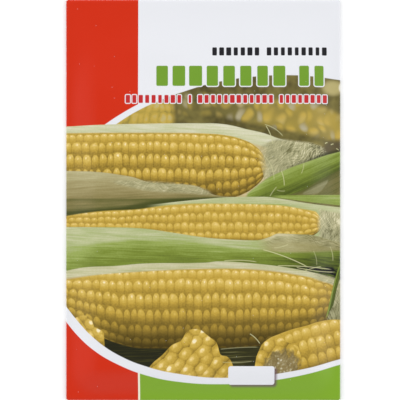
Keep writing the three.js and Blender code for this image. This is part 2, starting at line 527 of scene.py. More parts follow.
class SweetcornPicture:
    """A picture of husked sweetcorn cobs, drawn in millimetres on the front of the packet."""

    EDGE = 0.22  # how soft an edge is
    BACK_HUSK = ((-66, 34.8), (-45, 35.6), (0, 36.2), (11.5, 35.5), (20, 33.5), (29, 31.4), (36, 28.9),
                 (44, 27.0))
    BACK_COB = Cob(
        upper=((-66, 32.0), (-20, 32.2), (0, 31.7), (10, 30.9), (18, 29.0), (24, 26.0), (28, 21.8),
               (30, 15.0)),
        lower=((-66, -1.0), (0, -1.0), (10, 0.0), (18, 2.2), (24, 5.8), (28, 10.0), (30, 15.0)),
        row_degrees=24.0, row_edge=-1.5, pitch=3.75, seed=3.0, relief=0.95, lit_from=-0.05,
        lit_end=(0.0, 14.0), lit_share=0.38,
    )
    MIDDLE_COB = Cob(
        upper=((-66, -4.5), (-36, -2.0), (0, 2.0), (20, 2.6), (40, 0.5), (50, -3.2), (55, -7.5),
               (56.6, -11.5)),
        lower=((-66, -16.5), (-36, -18.5), (0, -21.5), (20, -22.0), (40, -20.5), (50, -17.8), (55, -14.5),
               (56.6, -11.5)),
        row_degrees=23.0, row_edge=-3.0, pitch=3.45, seed=11.0, light=0.065, relief=0.7, lit_from=-0.5,
    )
    FRONT_COB = Cob(
        upper=((-66, -34.4), (-50, -32.6), (-37, -31.8), (-10, -31.0), (12, -31.0), (30, -32.0), (45, -34.6),
               (56, -38.0), (60.5, -39.8), (64, -43.5), (66.5, -50.0)),
        lower=((-66, -56.0), (-50, -64.0), (-40, -68.0), (-28, -70.3), (0, -70.3), (30, -68.8), (45, -66.2),
               (56, -62.0), (62, -58.0), (66.5, -50.0)),
        row_degrees=22.5, row_edge=-1.5, pitch=3.85, seed=23.0, light=0.03, relief=0.84, lit_from=0.3,
        lit_end=(-32.0, -58.0), dim_end=(50.0, 58.5),
    )
    CUT_COB = Cob(
        upper=((-26, 2.0), (-20, 8.0), (-13, 12.6), (-3, 15.6), (10, 16.6), (30, 16.6)),
        lower=((-26, -2.0), (-20, -8.0), (-13, -12.6), (-3, -15.6), (10, -16.6), (30, -16.6)),
        row_degrees=26.0, row_edge=2.0, pitch=4.5, seed=31.0, light=0.03, relief=0.8,
    )

    def __init__(self, board: Board, x: Field, y: Field) -> None:
        """Prepares to draw.

        Args:
            board: The drawing board.
            x: The place across the front, in millimetres.
            y: The place up the front, in millimetres.
        """
        self.board = board
        self.x = x
        self.y = y
        self.grain = board.noise(x, y, scale=1.1, detail=2.0) - 0.5

    # -- Masks --

    def under(self, points: Points, softness: float = EDGE) -> Field:
        """Is 1 below an outline and 0 above it."""
        return (self.y - self.board.outline(self.x, points)).eased(softness, -softness)

    def between(self, upper: Points, lower: Points, softness: float = EDGE) -> Field:
        """Is 1 between two outlines."""
        return self.under(upper, softness) - self.under(lower, softness)

    def span(self, left: float, right: float, softness: float = EDGE) -> Field:
        """Is 1 between two places across the picture."""
        return self.x.amid(left, right, softness)

    def depth(self, upper: Points, lower: Points) -> Field:
        """Goes from 0 at the lower outline to 1 at the upper one."""
        low = self.board.outline(self.x, lower)
        return ((self.y - low) / (self.board.outline(self.x, upper) - low)).within(0.0, 1.0)

    def turned(self, degrees: float, x: float = 0.0, y: float = 0.0) -> tuple[Field, Field]:
        """Gives the coordinates along and across a line that rises at an angle through a point.

        Args:
            degrees: How steeply the line rises.
            x: A point on the line, across.
            y: The same point, up.

        Returns:
            The coordinates along the line and across it, from that point.
        """
        cosine, sine = math.cos(math.radians(degrees)), math.sin(math.radians(degrees))
        dx, dy = self.x - x, self.y - y
        return dx * cosine + dy * sine, dy * cosine - dx * sine

    def oval(self, centre: tuple[float, float], half_width: float, half_height: float) -> Field:
        """Rises from 0 at the middle of an oval to 1 on its edge, and on beyond it."""
        across, up = (self.x - centre[0]) * (1 / half_width), (self.y - centre[1]) * (1 / half_height)
        return across ** 2.0 + up ** 2.0

    def fibres(self, degrees: float, length: float, width: float) -> Field:
        """Gives streaks that run along a line, from about -0.5 to 0.5."""
        along, across = self.turned(degrees)
        return self.board.noise(along * (1 / length), across * (1 / width), detail=3.0) * 2.0 - 1.0

    # -- Things in the picture --

    def far_corn(self, _: Colour) -> Colour:
        """Draws what lies out of focus behind the cobs.

        Args:
            _: Not used, since this covers all of what lies below.

        Returns:
            The picture so far.
        """
        board, x, y = self.board, self.x, self.y
        soft = board.noise(x, y, scale=0.07, detail=1.0)
        patches = board.noise(x, y, scale=0.25, detail=1.0)
        base = board.ramp(0.08 + 0.25 * soft + 0.24 * patches + 0.04 * x.eased(20.0, 50.0), Ramp.DISTANCE)
        for centre, half_width, half_height, ink in (
            ((61.4, 53.0), 6.4, 4.6, 0xBAAE76),
            ((66.0, 53.2), 2.2, 3.0, 0xEFE9DA),
        ):
            spot = self.oval(centre, half_width, half_height)
            base = board.over(base, spot.eased(1.0, 0.1), linear(ink))

        warp = board.noise(x, y, scale=0.12, detail=0.0) - 0.5
        across, along = (x + warp * 6) * 0.2, (y + warp * 5) * 0.16
        distance, _, up, luck = board.lumps(across, along, loose=0.6, smooth=0.3)
        blur = distance.eased(0.6, 0.1)
        floor = ((-66, 41.0), (-6, 40.5), (5, 40.0), (17, 37.5), (30, 35.0), (45, 31.6), (66, 27.8))
        ceiling = ((-66, 50.0), (2, 50.0), (12, 48.0), (30, 47.5), (46, 47.0), (54, 45.0), (60, 42.8),
                   (66, 39.5))
        band = self.between(ceiling, floor, softness=1.8) * x.eased(-13.0, -11.0)
        band = band * (1.0 - abs(x + 3.4).eased(3.0, 0.5)) * (0.7 + 0.3 * x.eased(8.0, 20.0))
        yellow = board.ramp(0.66 + 0.11 * x.eased(8.0, 40.0) + 0.2 * (luck - 0.5) - 0.16 * up, Ramp.DISTANCE)
        pale = board.ramp(0.66 + 0.3 * (luck - 0.5) - 0.2 * up, Ramp.PITH)
        lumps = board.over(yellow, luck.eased(0.4, 0.9) * 0.9, pale)
        gaps = board.ramp(0.4 + 0.14 * x.eased(8.0, 40.0) + 0.2 * warp, Ramp.DISTANCE)
        base = board.over(base, band, board.over(gaps, blur, lumps))

        distance, _, _, luck = board.lumps((x + warp * 3) * 0.3, (y + warp * 2) * 0.21, loose=0.35)
        mottle = board.noise(x, y, scale=0.35) - 0.5
        glow = 0.6 + 0.22 * distance.eased(0.7, 0.1) + 0.1 * (luck - 0.5) + 0.3 * mottle
        near = x.eased(-12.0, -16.0) * (y - 46.4).eased(1.2, -0.6)
        return board.over(base, near, board.ramp(glow, Ramp.DISTANCE))

    def cob(self, base: Colour, cob: Cob, shown: Field) -> Colour:
        """Draws a cob: rows of kernels round its girth, each kernel a dome with its own size, tone and shine.

        Args:
            base: What lies behind it.
            cob: Its outline and the size of its kernels.
            shown: Where no husk behind it or in front of it hides it.

        Returns:
            The picture with the cob.
        """
        board = self.board
        top, bottom = board.outline(self.x, cob.upper), board.outline(self.x, cob.lower)
        height = ((self.y * 2.0 - top - bottom) / (top - bottom + 0.02)).within(-1.2, 1.2)
        wobble = board.noise(self.x, cob.seed, scale=0.09, detail=1.0) - 0.5
        rows = (height.degrees_of_sine() - cob.row_edge) * (1 / cob.row_degrees) + wobble * 0.35
        row = rows.floor()
        shift, squeeze, _ = board.chance(row, 0.0, cob.seed)
        drift = board.noise(self.x * 0.07, row * 7.3, detail=1.0) * 0.7
        drift = drift + board.noise(self.x * 0.3, row * 5.7, detail=0.0) * 0.36
        line = self.x * (1 / cob.pitch) * (0.97 + 0.06 * squeeze) + shift * 5.0 + drift
        along, across = line.fraction() * 2.0 - 1.0, rows.fraction() * 2.0 - 1.0
        size, brightness, shine = board.chance(line.floor(), row, cob.seed + 1.0)

        side = abs(along)
        crown = 0.96 - 0.72 * side ** 2.6 - 0.24 * size
        body = (0.4 + 0.6 * side.eased(1.0, 0.76)) * (across - crown).eased(0.16, -0.12)
        glint_at = 0.52 - 0.22 * size
        off_glint = along - (shine - 0.5) * 0.4
        glint = ((off_glint * 3.5) ** 2.0 + ((across - glint_at) * 4.3) ** 2.0).eased(1.3, 0.0)
        bloom = ((along * 1.25) ** 2.0 + ((across - glint_at) * 1.35) ** 2.0).eased(1.3, 0.0)
        tone = (
            body * (0.11 + 0.2 * across.eased(-1.0, 0.3) - 0.04 * side) + 0.05 * bloom * body + 0.06 * across
            + glint * (0.04 + 0.1 * shine + 0.08 * height.eased(-0.1, 0.45))
            + 0.09 * (brightness - 0.5) + 0.26 * self.grain - 0.19
        )
        upper = height.eased(0.2, 0.8)
        tone = 0.57 + cob.light + 0.1 * upper + cob.relief * (1.0 - 0.25 * upper) * tone
        shade = 0.14 + 0.86 * height.eased(-1.25, cob.lit_from)
        shade = shade + cob.lit_share * (1.0 - shade) * self.x.eased(*cob.lit_end)
        shade = shade * (1.0 - 0.2 * self.x.eased(*cob.dim_end))
        inside = height.eased(-1.0, -0.97) * height.eased(1.0, 0.97)
        return board.over(base, inside * shown, board.ramp(tone * shade, Ramp.CORN))

    def husk(self, base: Colour, mask: Field, tone: Value, angle: float,
             ramp: Ramp = Ramp.HUSK) -> Colour:
        """Draws a husk leaf with fine veins along it.

        Args:
            base: What lies behind it.
            mask: Where the leaf is.
            tone: How light the leaf is.
            angle: Which way the veins run, in degrees above +X.
            ramp: The leaf's colours.

        Returns:
            The picture with the leaf.
        """
        veins = 0.16 * self.fibres(angle, 26.0, 0.7) + 0.1 * self.fibres(angle, 12.0, 2.4)
        return self.board.over(base, mask, self.board.ramp(tone + veins + 0.08 * self.grain, ramp))

    def silk(self, base: Colour, mask: Field, angles: Iterable[float], light: Value = 0.56,
             relief: Value = 1.0) -> Colour:
        """Draws a tuft of silk: fine threads that cross at several angles, each set over the last.

        Args:
            base: What lies behind it.
            mask: Where the silk is.
            angles: Which way each set of threads runs, in degrees above +X.
            light: How light the silk is.
            relief: How strongly the threads stand out.

        Returns:
            The picture with the silk.
        """
        board = self.board
        tone = light + 0.5 * (board.noise(self.x, self.y, scale=0.16) - 0.5) + 0.2 * relief * self.grain
        for index, angle in enumerate(angles):
            along, across = self.turned(angle, 7.0 * index, 3.0)
            bend = board.noise(along, across, scale=0.12, detail=0.0) * 5.0
            threads = board.noise(along * 0.14, (across + bend) * 2.0, detail=1.0)
            tone = tone + relief * (0.12 * threads.eased(0.54, 0.68) - 0.1 * threads.eased(0.46, 0.32))
        return board.over(base, mask, board.ramp(tone, Ramp.SILK))

    def thread(self, base: Colour, start: tuple[float, float], end: tuple[float, float], bow: float,
               strength: float) -> Colour:
        """Draws one loose thread of silk from one point to another, bowed to its left.

        Args:
            base: What lies below.
            start: Where the thread starts.
            end: Where it ends.
            bow: How far its middle strays to the left.
            strength: How solid it looks, from 0 to 1.

        Returns:
            The picture with the thread.
        """
        length = math.dist(start, end)
        along, across = self.turned(math.degrees(math.atan2(end[1] - start[1], end[0] - start[0])), *start)
        share = along * (1 / length)
        off = abs(across - share * (1.0 - share) * (4 * bow))
        mask = off.eased(0.32, 0.06) * share.eased(-0.01, 0.03) * share.eased(1.01, 0.9) * strength
        return self.board.over(base, mask, linear(0xD0CE9C))

    def cut_cob(self, base: Colour, mask: Field, angle: float, centre: tuple[float, float],
                size: tuple[float, float], shade: Value) -> Colour:
        """Draws a short length of cob near the eye, with big kernels that stray from their rows.

        Args:
            base: What lies below.
            mask: Where the cob is.
            angle: Which way its rows run, in degrees above +X.
            centre: The corner of one kernel.
            size: A kernel's length and width.
            shade: How light it is; 1 is the usual.

        Returns:
            The picture with the cob.
        """
        along, across = self.turned(angle, *centre)
        along, across = along * (1 / size[0]), across * (1 / size[1])
        distance, right, up, luck = self.board.lumps(along, across, loose=0.5)
        body = distance.eased(0.7, 0.34)
        glint = (((right + 0.04) * 3.8) ** 2.0 + ((up - 0.18) * 4.4) ** 2.0).eased(1.3, 0.0)
        shine = glint * (0.08 + 0.2 * luck)
        tone = 0.47 + 0.18 * body + 0.18 * up + 0.12 * (luck - 0.5) + shine + 0.2 * self.grain
        return self.board.over(base, mask, self.board.ramp(tone * shade, Ramp.CORN))

    # -- The whole picture, from back to front --

    def back_cob(self, base: Colour) -> Colour:
        """Draws the cob at the back: its pale husk behind, its silk, and its dry husk in front.

        Args:
            base: What lies below.

        Returns:
            The picture so far.
        """
        strip_foot = ((-66, 31.4), (-20, 31.8), (0, 31.0), (10, 29.8), (20, 27.4), (28, 25.4), (44, 22.0))
        depth = self.depth(self.BACK_HUSK, strip_foot)
        behind = self.under(self.BACK_HUSK) * self.x.eased(46.0, 40.0)
        base = self.husk(base, behind, 0.84 + 0.06 * depth, -4.0)
        base = self.board.over(base, self.under(strip_foot, 0.8) * 0.55, linear(0xC8A86E))
        shown = self.under(((-66, 31.7), (0, 31.6), (14, 30.0), (30, 24.0)), 0.4)
        base = self.cob(base, self.BACK_COB, shown)
        top = ((18, 27.5), (26.5, 26.2), (35.5, 28.6), (44, 27.6), (52, 26.6), (57, 24.6), (59.5, 22.0),
               (66, 21.0))
        foot = ((18, 24.0), (24, 21.0), (27.6, 15.0), (29.0, 9.0), (31, 6.2), (42, 12.0), (54, 16.2),
                (66, 20.5))
        silk = self.between(top, foot, 0.9) * self.x.eased(25.0, 31.5) * self.x.eased(65.0, 59.0)
        relief = 0.7 + 1.1 * self.x.eased(34.0, 54.0)
        base = self.silk(base, silk, (52, 18, 84, 34), 0.6 - 0.004 * (self.x - 30.0), relief)
        rim = ((-66, 13.8), (-50, 13.2), (-39, 11.8), (-33, 10.7), (-26, 8.4), (-17, 7.6), (-7, 7.1),
               (-2, 6.1), (1.5, 4.0), (6, 2.2), (22, 1.2))
        foot = ((-66, -7.4), (-54, -6.0), (-40, -4.3), (-28, -2.2), (-14, -0.4), (2, 0.8), (22, 1.4))
        depth = self.depth(rim, foot)
        tone = 0.18 + 0.62 * depth ** 0.8 - 0.1 * self.x.eased(-30.0, 10.0) * depth
        base = self.board.over(base, self.under(rim, 1.3) * self.x.eased(16.0, 4.0) * 0.5, linear(0x5E4A20))
        base = self.husk(base, self.under(rim) * self.x.eased(20.0, 8.0), tone, 3.0, Ramp.DRY_HUSK)
        crest = ((-46, 9.0), (-38, 9.4), (-26, 8.8), (-12, 7.6), (0, 5.4), (6, 2.4))
        foot = ((-46, 8.6), (-38, 7.0), (-26, 4.4), (-12, 3.4), (0, 2.6), (6, 1.8))
        fringe = self.between(crest, foot, 0.9) * self.span(-42.0, 3.0, 3.0)
        return self.silk(base, fringe * 0.7, (4, -14, 38), 0.6)

    def side_leaf(self, base: Colour) -> Colour:
        """Draws the green leaf that rises to the right, and what lies under it.

        Args:
            base: What lies below.

        Returns:
            The picture so far.
        """
        top = ((20, 2.4), (24, 5.6), (29, 9.4), (37.7, 13.8), (50.8, 18.6), (57.4, 20.9), (66, 23.2))
        foot = ((20, 0.6), (34, 1.4), (42, 2.8), (48, 5.2), (55.2, 9.4), (66, 15.2))
        above = self.y - self.board.outline(self.x, top)
        hollow = above.eased(7.5, 4.0) * self.x.eased(54.0, 59.0)
        base = self.board.over(base, hollow * 0.75, linear(0x5C5240))
        shadow = above.eased(2.2, 0.2) * self.x.eased(34.0, 54.0)
        base = self.board.over(base, shadow * 0.75, linear(0x30351C))
        below = self.husk(base, self.under(top) * self.x.eased(20.0, 23.0), 0.27, 28.0, Ramp.DRY_HUSK)
        blade = self.between(((46, 2.6), (50, 5.4), (59.5, 9.8)), ((46, 2.4), (54, 3.2), (59.5, 9.0)), 0.5)
        below = self.husk(below, blade * self.span(47.0, 59.0, 0.6) * 0.7, 0.42, 24.0, Ramp.SILK)
        shadow = (self.y - self.board.outline(self.x, foot)).eased(-3.0, -0.2) * self.under(foot) * 0.5
        below = self.board.over(below, shadow, linear(0x4A5424))
        depth = self.depth(top, foot)
        tone = 0.19 + 0.26 * depth.eased(0.0, 0.8) + 0.14 * depth.eased(0.8, 1.05)
        tone = tone + 0.1 * self.x.eased(34.0, 22.0)
        base = self.husk(below, self.between(top, foot, 0.35) * self.x.eased(19.5, 21.5), tone, 24.0)
        strip = ((20, 1.8), (36, 2.2), (66, 2.4))
        foot = ((20, 1.0), (36, 0.8), (50, -0.9), (66, -2.6))
        return self.husk(base, self.between(strip, foot) * self.x.eased(30.0, 38.0), 0.5, 0.0)

    def middle_cob(self, base: Colour) -> Colour:
        """Draws the cob in the middle, with the husk that lies over it.

        Args:
            base: What lies below.

        Returns:
            The picture so far.
        """
        shadow = ((-66, -5.4), (-54, -4.4), (-40, -3.4), (-28, -1.2), (-14, 0.6), (2, 1.2), (28, 0.6),
                  (47, -2.4), (66, -4.8))
        base = self.board.over(base, self.under(shadow, 0.8) * 0.75, linear(0x434A26))
        rim = ((-66, -4.0), (-24, -2.1), (-13, -0.9), (1, 0.5), (11, 1.3), (28, 1.5), (37, 0.5), (47, -1.2),
               (57, -2.6), (66, -3.6))
        edge = ((-66, -7.8), (-56, -6.2), (-47, -5.2), (-30, -4.3), (-24, -3.4), (-15, -2.3), (0, -1.7),
                (28, -2.1), (37, -2.6), (46, -4.1), (54, -5.6), (66, -9.0))
        strip = self.under(rim) * self.x.eased(-28.0, -14.0)
        base = self.husk(base, strip, 0.68 + 0.14 * self.depth(rim, edge), -2.0)
        base = self.cob(base, self.MIDDLE_COB, self.under(edge, 0.4))
        tuft_top = ((50, -3.5), (56, -4.6), (61, -5.6), (66, -6.2))
        tuft_foot = ((50, -19.5), (58, -21.0), (66, -22.0))
        tuft = self.between(tuft_top, tuft_foot, 0.8) * self.x.eased(53.4, 56.0)
        return self.silk(base, tuft, (70, 48, 96, 120), 0.67 + 0.018 * (self.y + 9.0))

    def broad_husk(self, base: Colour) -> Colour:
        """Draws the broad green husk below the middle cob.

        Args:
            base: What lies below.

        Returns:
            The picture so far.
        """
        rim = ((-66, -12.8), (-41, -12.9), (-28, -13.5), (-15, -15.3), (1, -17.7), (12, -18.6), (25, -19.0),
               (31, -17.6), (35.5, -15.9), (44, -16.2), (52, -16.7), (60, -19.0), (66, -20.4))
        crest = ((-66, -22.0), (-54, -20.8), (-41, -19.4), (-32, -18.6), (-19, -18.6), (-6, -19.4),
                 (1, -20.5), (12, -22.1), (29, -24.0), (42, -24.7), (52, -24.5), (66, -24.0))
        foot = ((-66, -33.4), (-56, -31.8), (-41, -31.0), (-28, -30.0), (1, -29.4), (25, -30.1),
                (36, -31.4), (66, -34.0))
        pale = 0.73 + 0.12 * self.fibres(-3.0, 40.0, 3.0) - 0.12 * self.x.eased(18.0, 34.0)
        base = self.husk(base, self.under(rim), pale, -3.0)
        dry = self.under(rim) * self.x.eased(24.0, 34.0)
        fading = self.x.eased(38.0, 60.0)
        base = self.husk(base, dry * 0.85, 0.68 - 0.2 * fading, -4.0, Ramp.DRY_HUSK)
        below_rim = self.y - self.board.outline(self.x, rim)
        frayed = dry * (0.1 + 0.4 * below_rim.eased(-5.0, -2.5))
        base = self.silk(base, frayed, (-6, 14, -24), 0.58 - 0.2 * fading, 1.3)
        lip = below_rim.eased(-1.9, -0.6) * self.x.eased(48.0, 36.0)
        base = self.board.over(base, dry * lip * 0.7, linear(0xDCD2A8))
        depth = self.depth(crest, foot)
        tone = 0.355 + 0.22 * depth ** 1.6 - 0.2 * self.x.eased(8.0, 56.0)
        tone = tone + 0.12 * self.x.eased(-50.0, -66.0)
        base = self.husk(base, self.under(crest, 0.9), tone, -2.0)
        dark = self.under(((36, -30.6), (44, -28.0), (52, -26.8), (66, -26.0)), 1.2)
        dark = dark * self.x.eased(36.0, 50.0) * (0.28 + self.fibres(-6.0, 8.0, 0.8))
        base = self.board.over(base, dark, linear(0x2C3318))
        tangle = self.under(((36, -31.4), (50, -31.4), (66, -31.8)), 0.8) * self.x.eased(40.0, 48.0)
        tangle = tangle * self.fibres(-14.0, 4.0, 1.3).eased(-0.3, 0.1)
        return self.board.over(base, tangle, linear(0x1C200E))

    def front_cob(self, base: Colour) -> Colour:
        """Draws the cob in front, with its husk behind its top edge and the dark gap under it.

        Args:
            base: What lies below.

        Returns:
            The picture so far.
        """
        rim = ((-66, -33.8), (-56, -31.9), (-41, -31.1), (-28, -30.0), (1, -29.6), (7, -29.0), (25, -30.1),
               (42, -32.3), (55, -35.1), (61, -37.4), (66, -39.0))
        foot = ((-66, -37.2), (-56, -36.0), (-47, -35.2), (-36, -34.2), (-23, -33.3), (1, -32.5),
                (20, -32.5), (33, -33.4), (42, -34.8), (53, -37.3), (60, -39.4), (66, -42.0))
        base = self.husk(base, self.under(rim), 0.8 + 0.08 * self.depth(rim, foot), -1.0)
        base = self.husk(base, self.under(rim) * 0.4, 0.84, -1.0, Ramp.DRY_HUSK)
        base = self.board.over(base, self.under(foot, 0.5) * 0.6, linear(0xBC9A58))
        gap = ((-66, -54.0), (-48, -61.0), (-36, -65.0), (0, -66.0), (28, -62.0), (66, -49.0))
        streaks = (0.22 + 0.26 * self.x.eased(-20.0, 10.0)) * self.fibres(2.0, 20.0, 0.7).within(0.1, 0.45)
        base = self.board.over(base, self.under(gap, 1.5), self.board.ramp(streaks, Ramp.SILK))
        edge = ((-66, -38.0), (-50, -35.4), (-33, -34.1), (-7, -32.8), (10, -32.4), (27, -33.2), (44, -35.4),
                (56, -38.0), (66, -43.0))
        base = self.cob(base, self.FRONT_COB, self.under(edge, 0.4))
        wisp_top = ((48, -33.8), (55, -35.0), (66, -38.0))
        wisps = self.between(wisp_top, ((48, -36.4), (56, -38.6), (66, -41.0)), 0.5)
        base = self.silk(base, wisps * self.x.eased(49.0, 57.0) * 0.8, (-12, 20, 50), 0.66)
        spine = ((-56, 57.9), (-50, 59.4), (-42, 61.2), (-34, 63.4), (-28, 65.6))
        left = self.x - self.board.outline(self.y, spine)
        tuft = self.between(((56, -38.0), (66, -40.0)), ((56, -57.0), (66, -60.0)), 0.6)
        light = 0.38 + 0.18 * self.y.eased(-52.0, -42.0)
        base = self.silk(base, tuft * left.eased(0.0, 1.4), (100, 76, 120), light)
        width = ((self.y + 56.0) * 0.36).lesser(2.2)
        blade = left.eased(-0.2, 0.2) * (left - width).eased(0.2, -0.2)
        tone = 0.15 + 0.3 * abs(left - 0.4).eased(0.6, 0.1)
        return self.husk(base, blade, tone, 74.0)

    def cut_cobs(self, base: Colour) -> Colour:
        """Draws the three short lengths of cob at the bottom, one of them with its cut face showing.

        Args:
            base: What lies below.

        Returns:
            The picture so far.
        """
        bottom = ((-66, -99.0), (66, -99.0))
        crown = ((-62, -56.5), (-59.5, -55.4), (-56, -54.6), (-52.8, -56.4), (-51.5, -59.8), (-49.5, -60.9),
                 (-47.2, -62.0), (-46.6, -66.5), (-46, -75.0))
        left = self.between(crown, bottom) * self.x.eased(-46.4, -46.8)
        base = self.cut_cob(base, left, -50.0, (-56.0, -58.0), (4.7, 4.6), 1.02)

        crown = ((-30, -88.0), (-25, -78.3), (-19, -72.8), (-14.7, -68.4), (-10.4, -66.2), (-8, -62.4),
                 (-4.6, -60.9), (-1.5, -61.2), (1.2, -63.2), (4, -65.4), (6.4, -67.4), (8.2, -73.0),
                 (11.5, -74.0), (13.8, -77.5), (15, -84.0))
        middle = self.between(crown, bottom) * self.span(-28.0, 14.6)
        shade = 1.04 - 0.16 * self.x.eased(0.0, 16.0)
        base = self.cut_cob(base, middle, 48.0, (-4.0, -70.0), (6.0, 4.8), shade)

        crown = ((24.0, -84.0), (24.6, -75.4), (26.4, -70.8), (27.4, -68.6), (31, -65.4), (35.5, -63.4),
                 (42, -61.0), (48.6, -59.3), (54, -57.7), (61.7, -56.7), (66, -56.9))
        right = self.between(crown, bottom) * self.x.eased(23.4, 24.0)
        lying = SweetcornPicture(self.board, *self.turned(14.0, 44.0, -75.0))
        base = self.board.over(base, right, linear(0xA5853A))
        base = lying.cob(base, self.CUT_COB, right)
        rim = self.oval((34.0, -75.4), 12.6, 9.6).eased(1.0, 0.92)
        base = self.cut_cob(base, rim * right, 60.0, (31.0, -71.0), (5.4, 5.2), 0.98)
        face = self.oval((37.2, -77.4), 8.4, 6.3)
        ragged = face + 0.9 * self.fibres(70.0, 3.4, 2.2)
        distance, _, _, luck = self.board.lumps(self.x * 0.7, self.y * 0.7, loose=0.9)
        specks = distance.eased(0.5, 0.2) * luck.eased(0.45, 0.8) * face.eased(0.9, 0.3)
        tone = 0.12 + 0.4 * self.fibres(64.0, 5.0, 1.4) + 0.6 * self.grain
        tone = tone + 0.3 * (1.1 - face).within(0.0, 1.0) + 0.5 * specks
        return self.board.over(base, ragged.eased(1.4, 0.55) * 0.9, self.board.ramp(tone, Ramp.PITH))

    def threads(self, base: Colour) -> Colour:
        """Draws the loose threads of silk that lie across the picture.

        Args:
            base: What lies below.

        Returns:
            The picture so far.
        """
        for start, end, bow, strength in (
            ((28.1, -23.4), (49.5, -31.7), 0.7, 0.9),
            ((33.4, -22.5), (40.3, -20.7), -0.5, 0.6),
            ((9.8, -28.7), (25.5, -29.2), 0.5, 0.7),
            ((35.0, -31.0), (61.0, -33.0), 0.6, 0.8),
            ((44.0, -31.8), (62.4, -34.2), -0.5, 0.7),
            ((47.0, -33.9), (56.0, -31.4), 0.4, 0.6),
            ((60.0, -22.0), (61.4, -29.0), 0.5, 0.5),
            ((52.0, -24.0), (53.6, -31.0), 0.5, 0.35),
            ((22.0, -63.1), (26.8, -67.9), 0.4, 0.8),
            ((8.1, -70.4), (26.0, -69.4), 0.3, 0.35),
            ((9.0, -76.5), (23.5, -76.0), -0.4, 0.35),
            ((29.0, 35.6), (37.7, 30.0), 0.9, 0.6),
            ((29.6, 35.0), (33.0, 26.0), 0.5, 0.8),
            ((36.8, 13.8), (38.2, 6.6), 0.4, 0.7),
            ((28.6, 21.0), (33.4, 9.0), 1.4, 0.5),
            ((47.5, 17.5), (46.2, 12.4), 0.3, 0.5),
            ((34.6, 6.2), (31.4, 1.6), -0.2, 0.5),
            ((38.6, 4.3), (34.6, 4.8), 0.3, 0.4),
            ((57.6, 26.7), (58.8, 27.2), 0.1, 1.0),
            ((60.4, 26.1), (61.8, 26.6), 0.1, 1.0),
            ((63.0, 24.4), (64.2, 23.6), 0.1, 0.8),
        ):
            base = self.thread(base, start, end, bow, strength)
        return base

    def standing_out(self) -> Field:
        """Is 1 where the cob at the back stands out over the picture's own edge."""
        return self.under(self.BACK_HUSK, 0.15) * self.y.eased(-20.0, -18.0) * self.x.eased(0.0, -2.0)

    @classmethod
    def draw(cls, board: Board, x: Field, y: Field, base: Colour) -> Colour:
        """Draws the whole picture, each thing in it over the ones behind.

        Args:
            board: The drawing board.
            x: The place across the front, in millimetres.
            y: The place up the front, in millimetres.
            base: What lies below.

        Returns:
            The whole picture.
        """
        for draw_thing in (cls.far_corn, cls.back_cob, cls.side_leaf, cls.middle_cob, cls.broad_husk,
                           cls.front_cob, cls.cut_cobs, cls.threads):
            def layer(inner: Board, px: Field, py: Field, below: Colour) -> Colour:
                """Draws one thing."""
                return draw_thing(cls(inner, px, py), below)

            layer.__name__ = draw_thing.__name__
            base = board.layer(layer, x, y, base)
        return base


# ---- The rest of the print ----


def rounded(x: Field, y: Field, half_width: Value, half_height: float, corner: float) -> Field:
    """Gives the distance outside a box with round corners.

    Args:
        x: The place across, from the box's middle.
        y: The place up, from the box's middle.
        half_width: Half the box's width.
        half_height: Half its height.
        corner: The radius of its corners.

    Returns:
        The distance, which is negative inside the box.
    """
    dx = (abs(x) - half_width + corner).greater(0.0)
    dy = (abs(y) - half_height + corner).greater(0.0)
    return (dx * dx + dy * dy).root() - corner


@dataclass(frozen=True)
class Plate:
    """A printed box with round corners."""

    x: float  # its middle
    y: float
    half_width: float
    half_height: float
    corner: float

    def outside(self, x: Field, y: Field) -> Field:
        """Gives the distance outside it, which is negative within."""
        return rounded(x - self.x, y - self.y, self.half_width, self.half_height, self.corner)


@dataclass(frozen=True)
class TextLine:
    """A line of text's place, which holds plain blocks and no letters."""

    words: Points  # where each word starts and ends
    foot: float  # the height of the blocks' lower edge on the front
    height: float
    pitch: float  # from block to block
    space: float  # between blocks
    ink: Ink
    rim: float = 0.0  # width of the white line round the blocks
    uneven: float = 0.1  # how much narrower half the narrowest block is, as a share of the pitch

    def draw(self, board: Board, x: Field, y: Field, base: Colour) -> Colour:
        """Prints the line's blocks.

        Args:
            board: The drawing board.
            x: The place across the front.
            y: The place up the front.
            base: What lies below.

        Returns:
            The print with the line.
        """
        ink, rim = None, None
        middle = self.foot + self.height / 2
        for index, (start, end) in enumerate(self.words):
            pitch = (end - start) / round((end - start) / self.pitch)
            cell = (x - start) * (1 / pitch)
            luck, _, _ = board.chance(cell.floor(), float(index), self.foot)
            off = (cell.fraction() - 0.5) * pitch
            half_width = (pitch - self.space) / 2 - pitch * self.uneven * luck
            block = rounded(off, y - middle, half_width, self.height / 2, self.space / 2)
            word = x.amid(start, end, 0.01)
            inked = block.eased(0.12, -0.12) * word
            rimmed = block.eased(self.rim + 0.15, self.rim - 0.1) * word
            ink, rim = (inked, rimmed) if ink is None else (ink + inked, rim + rimmed)
        if self.rim:
            base = board.over(base, rim, Ink.WHITE.colour)
        return board.over(base, ink, self.ink.colour)


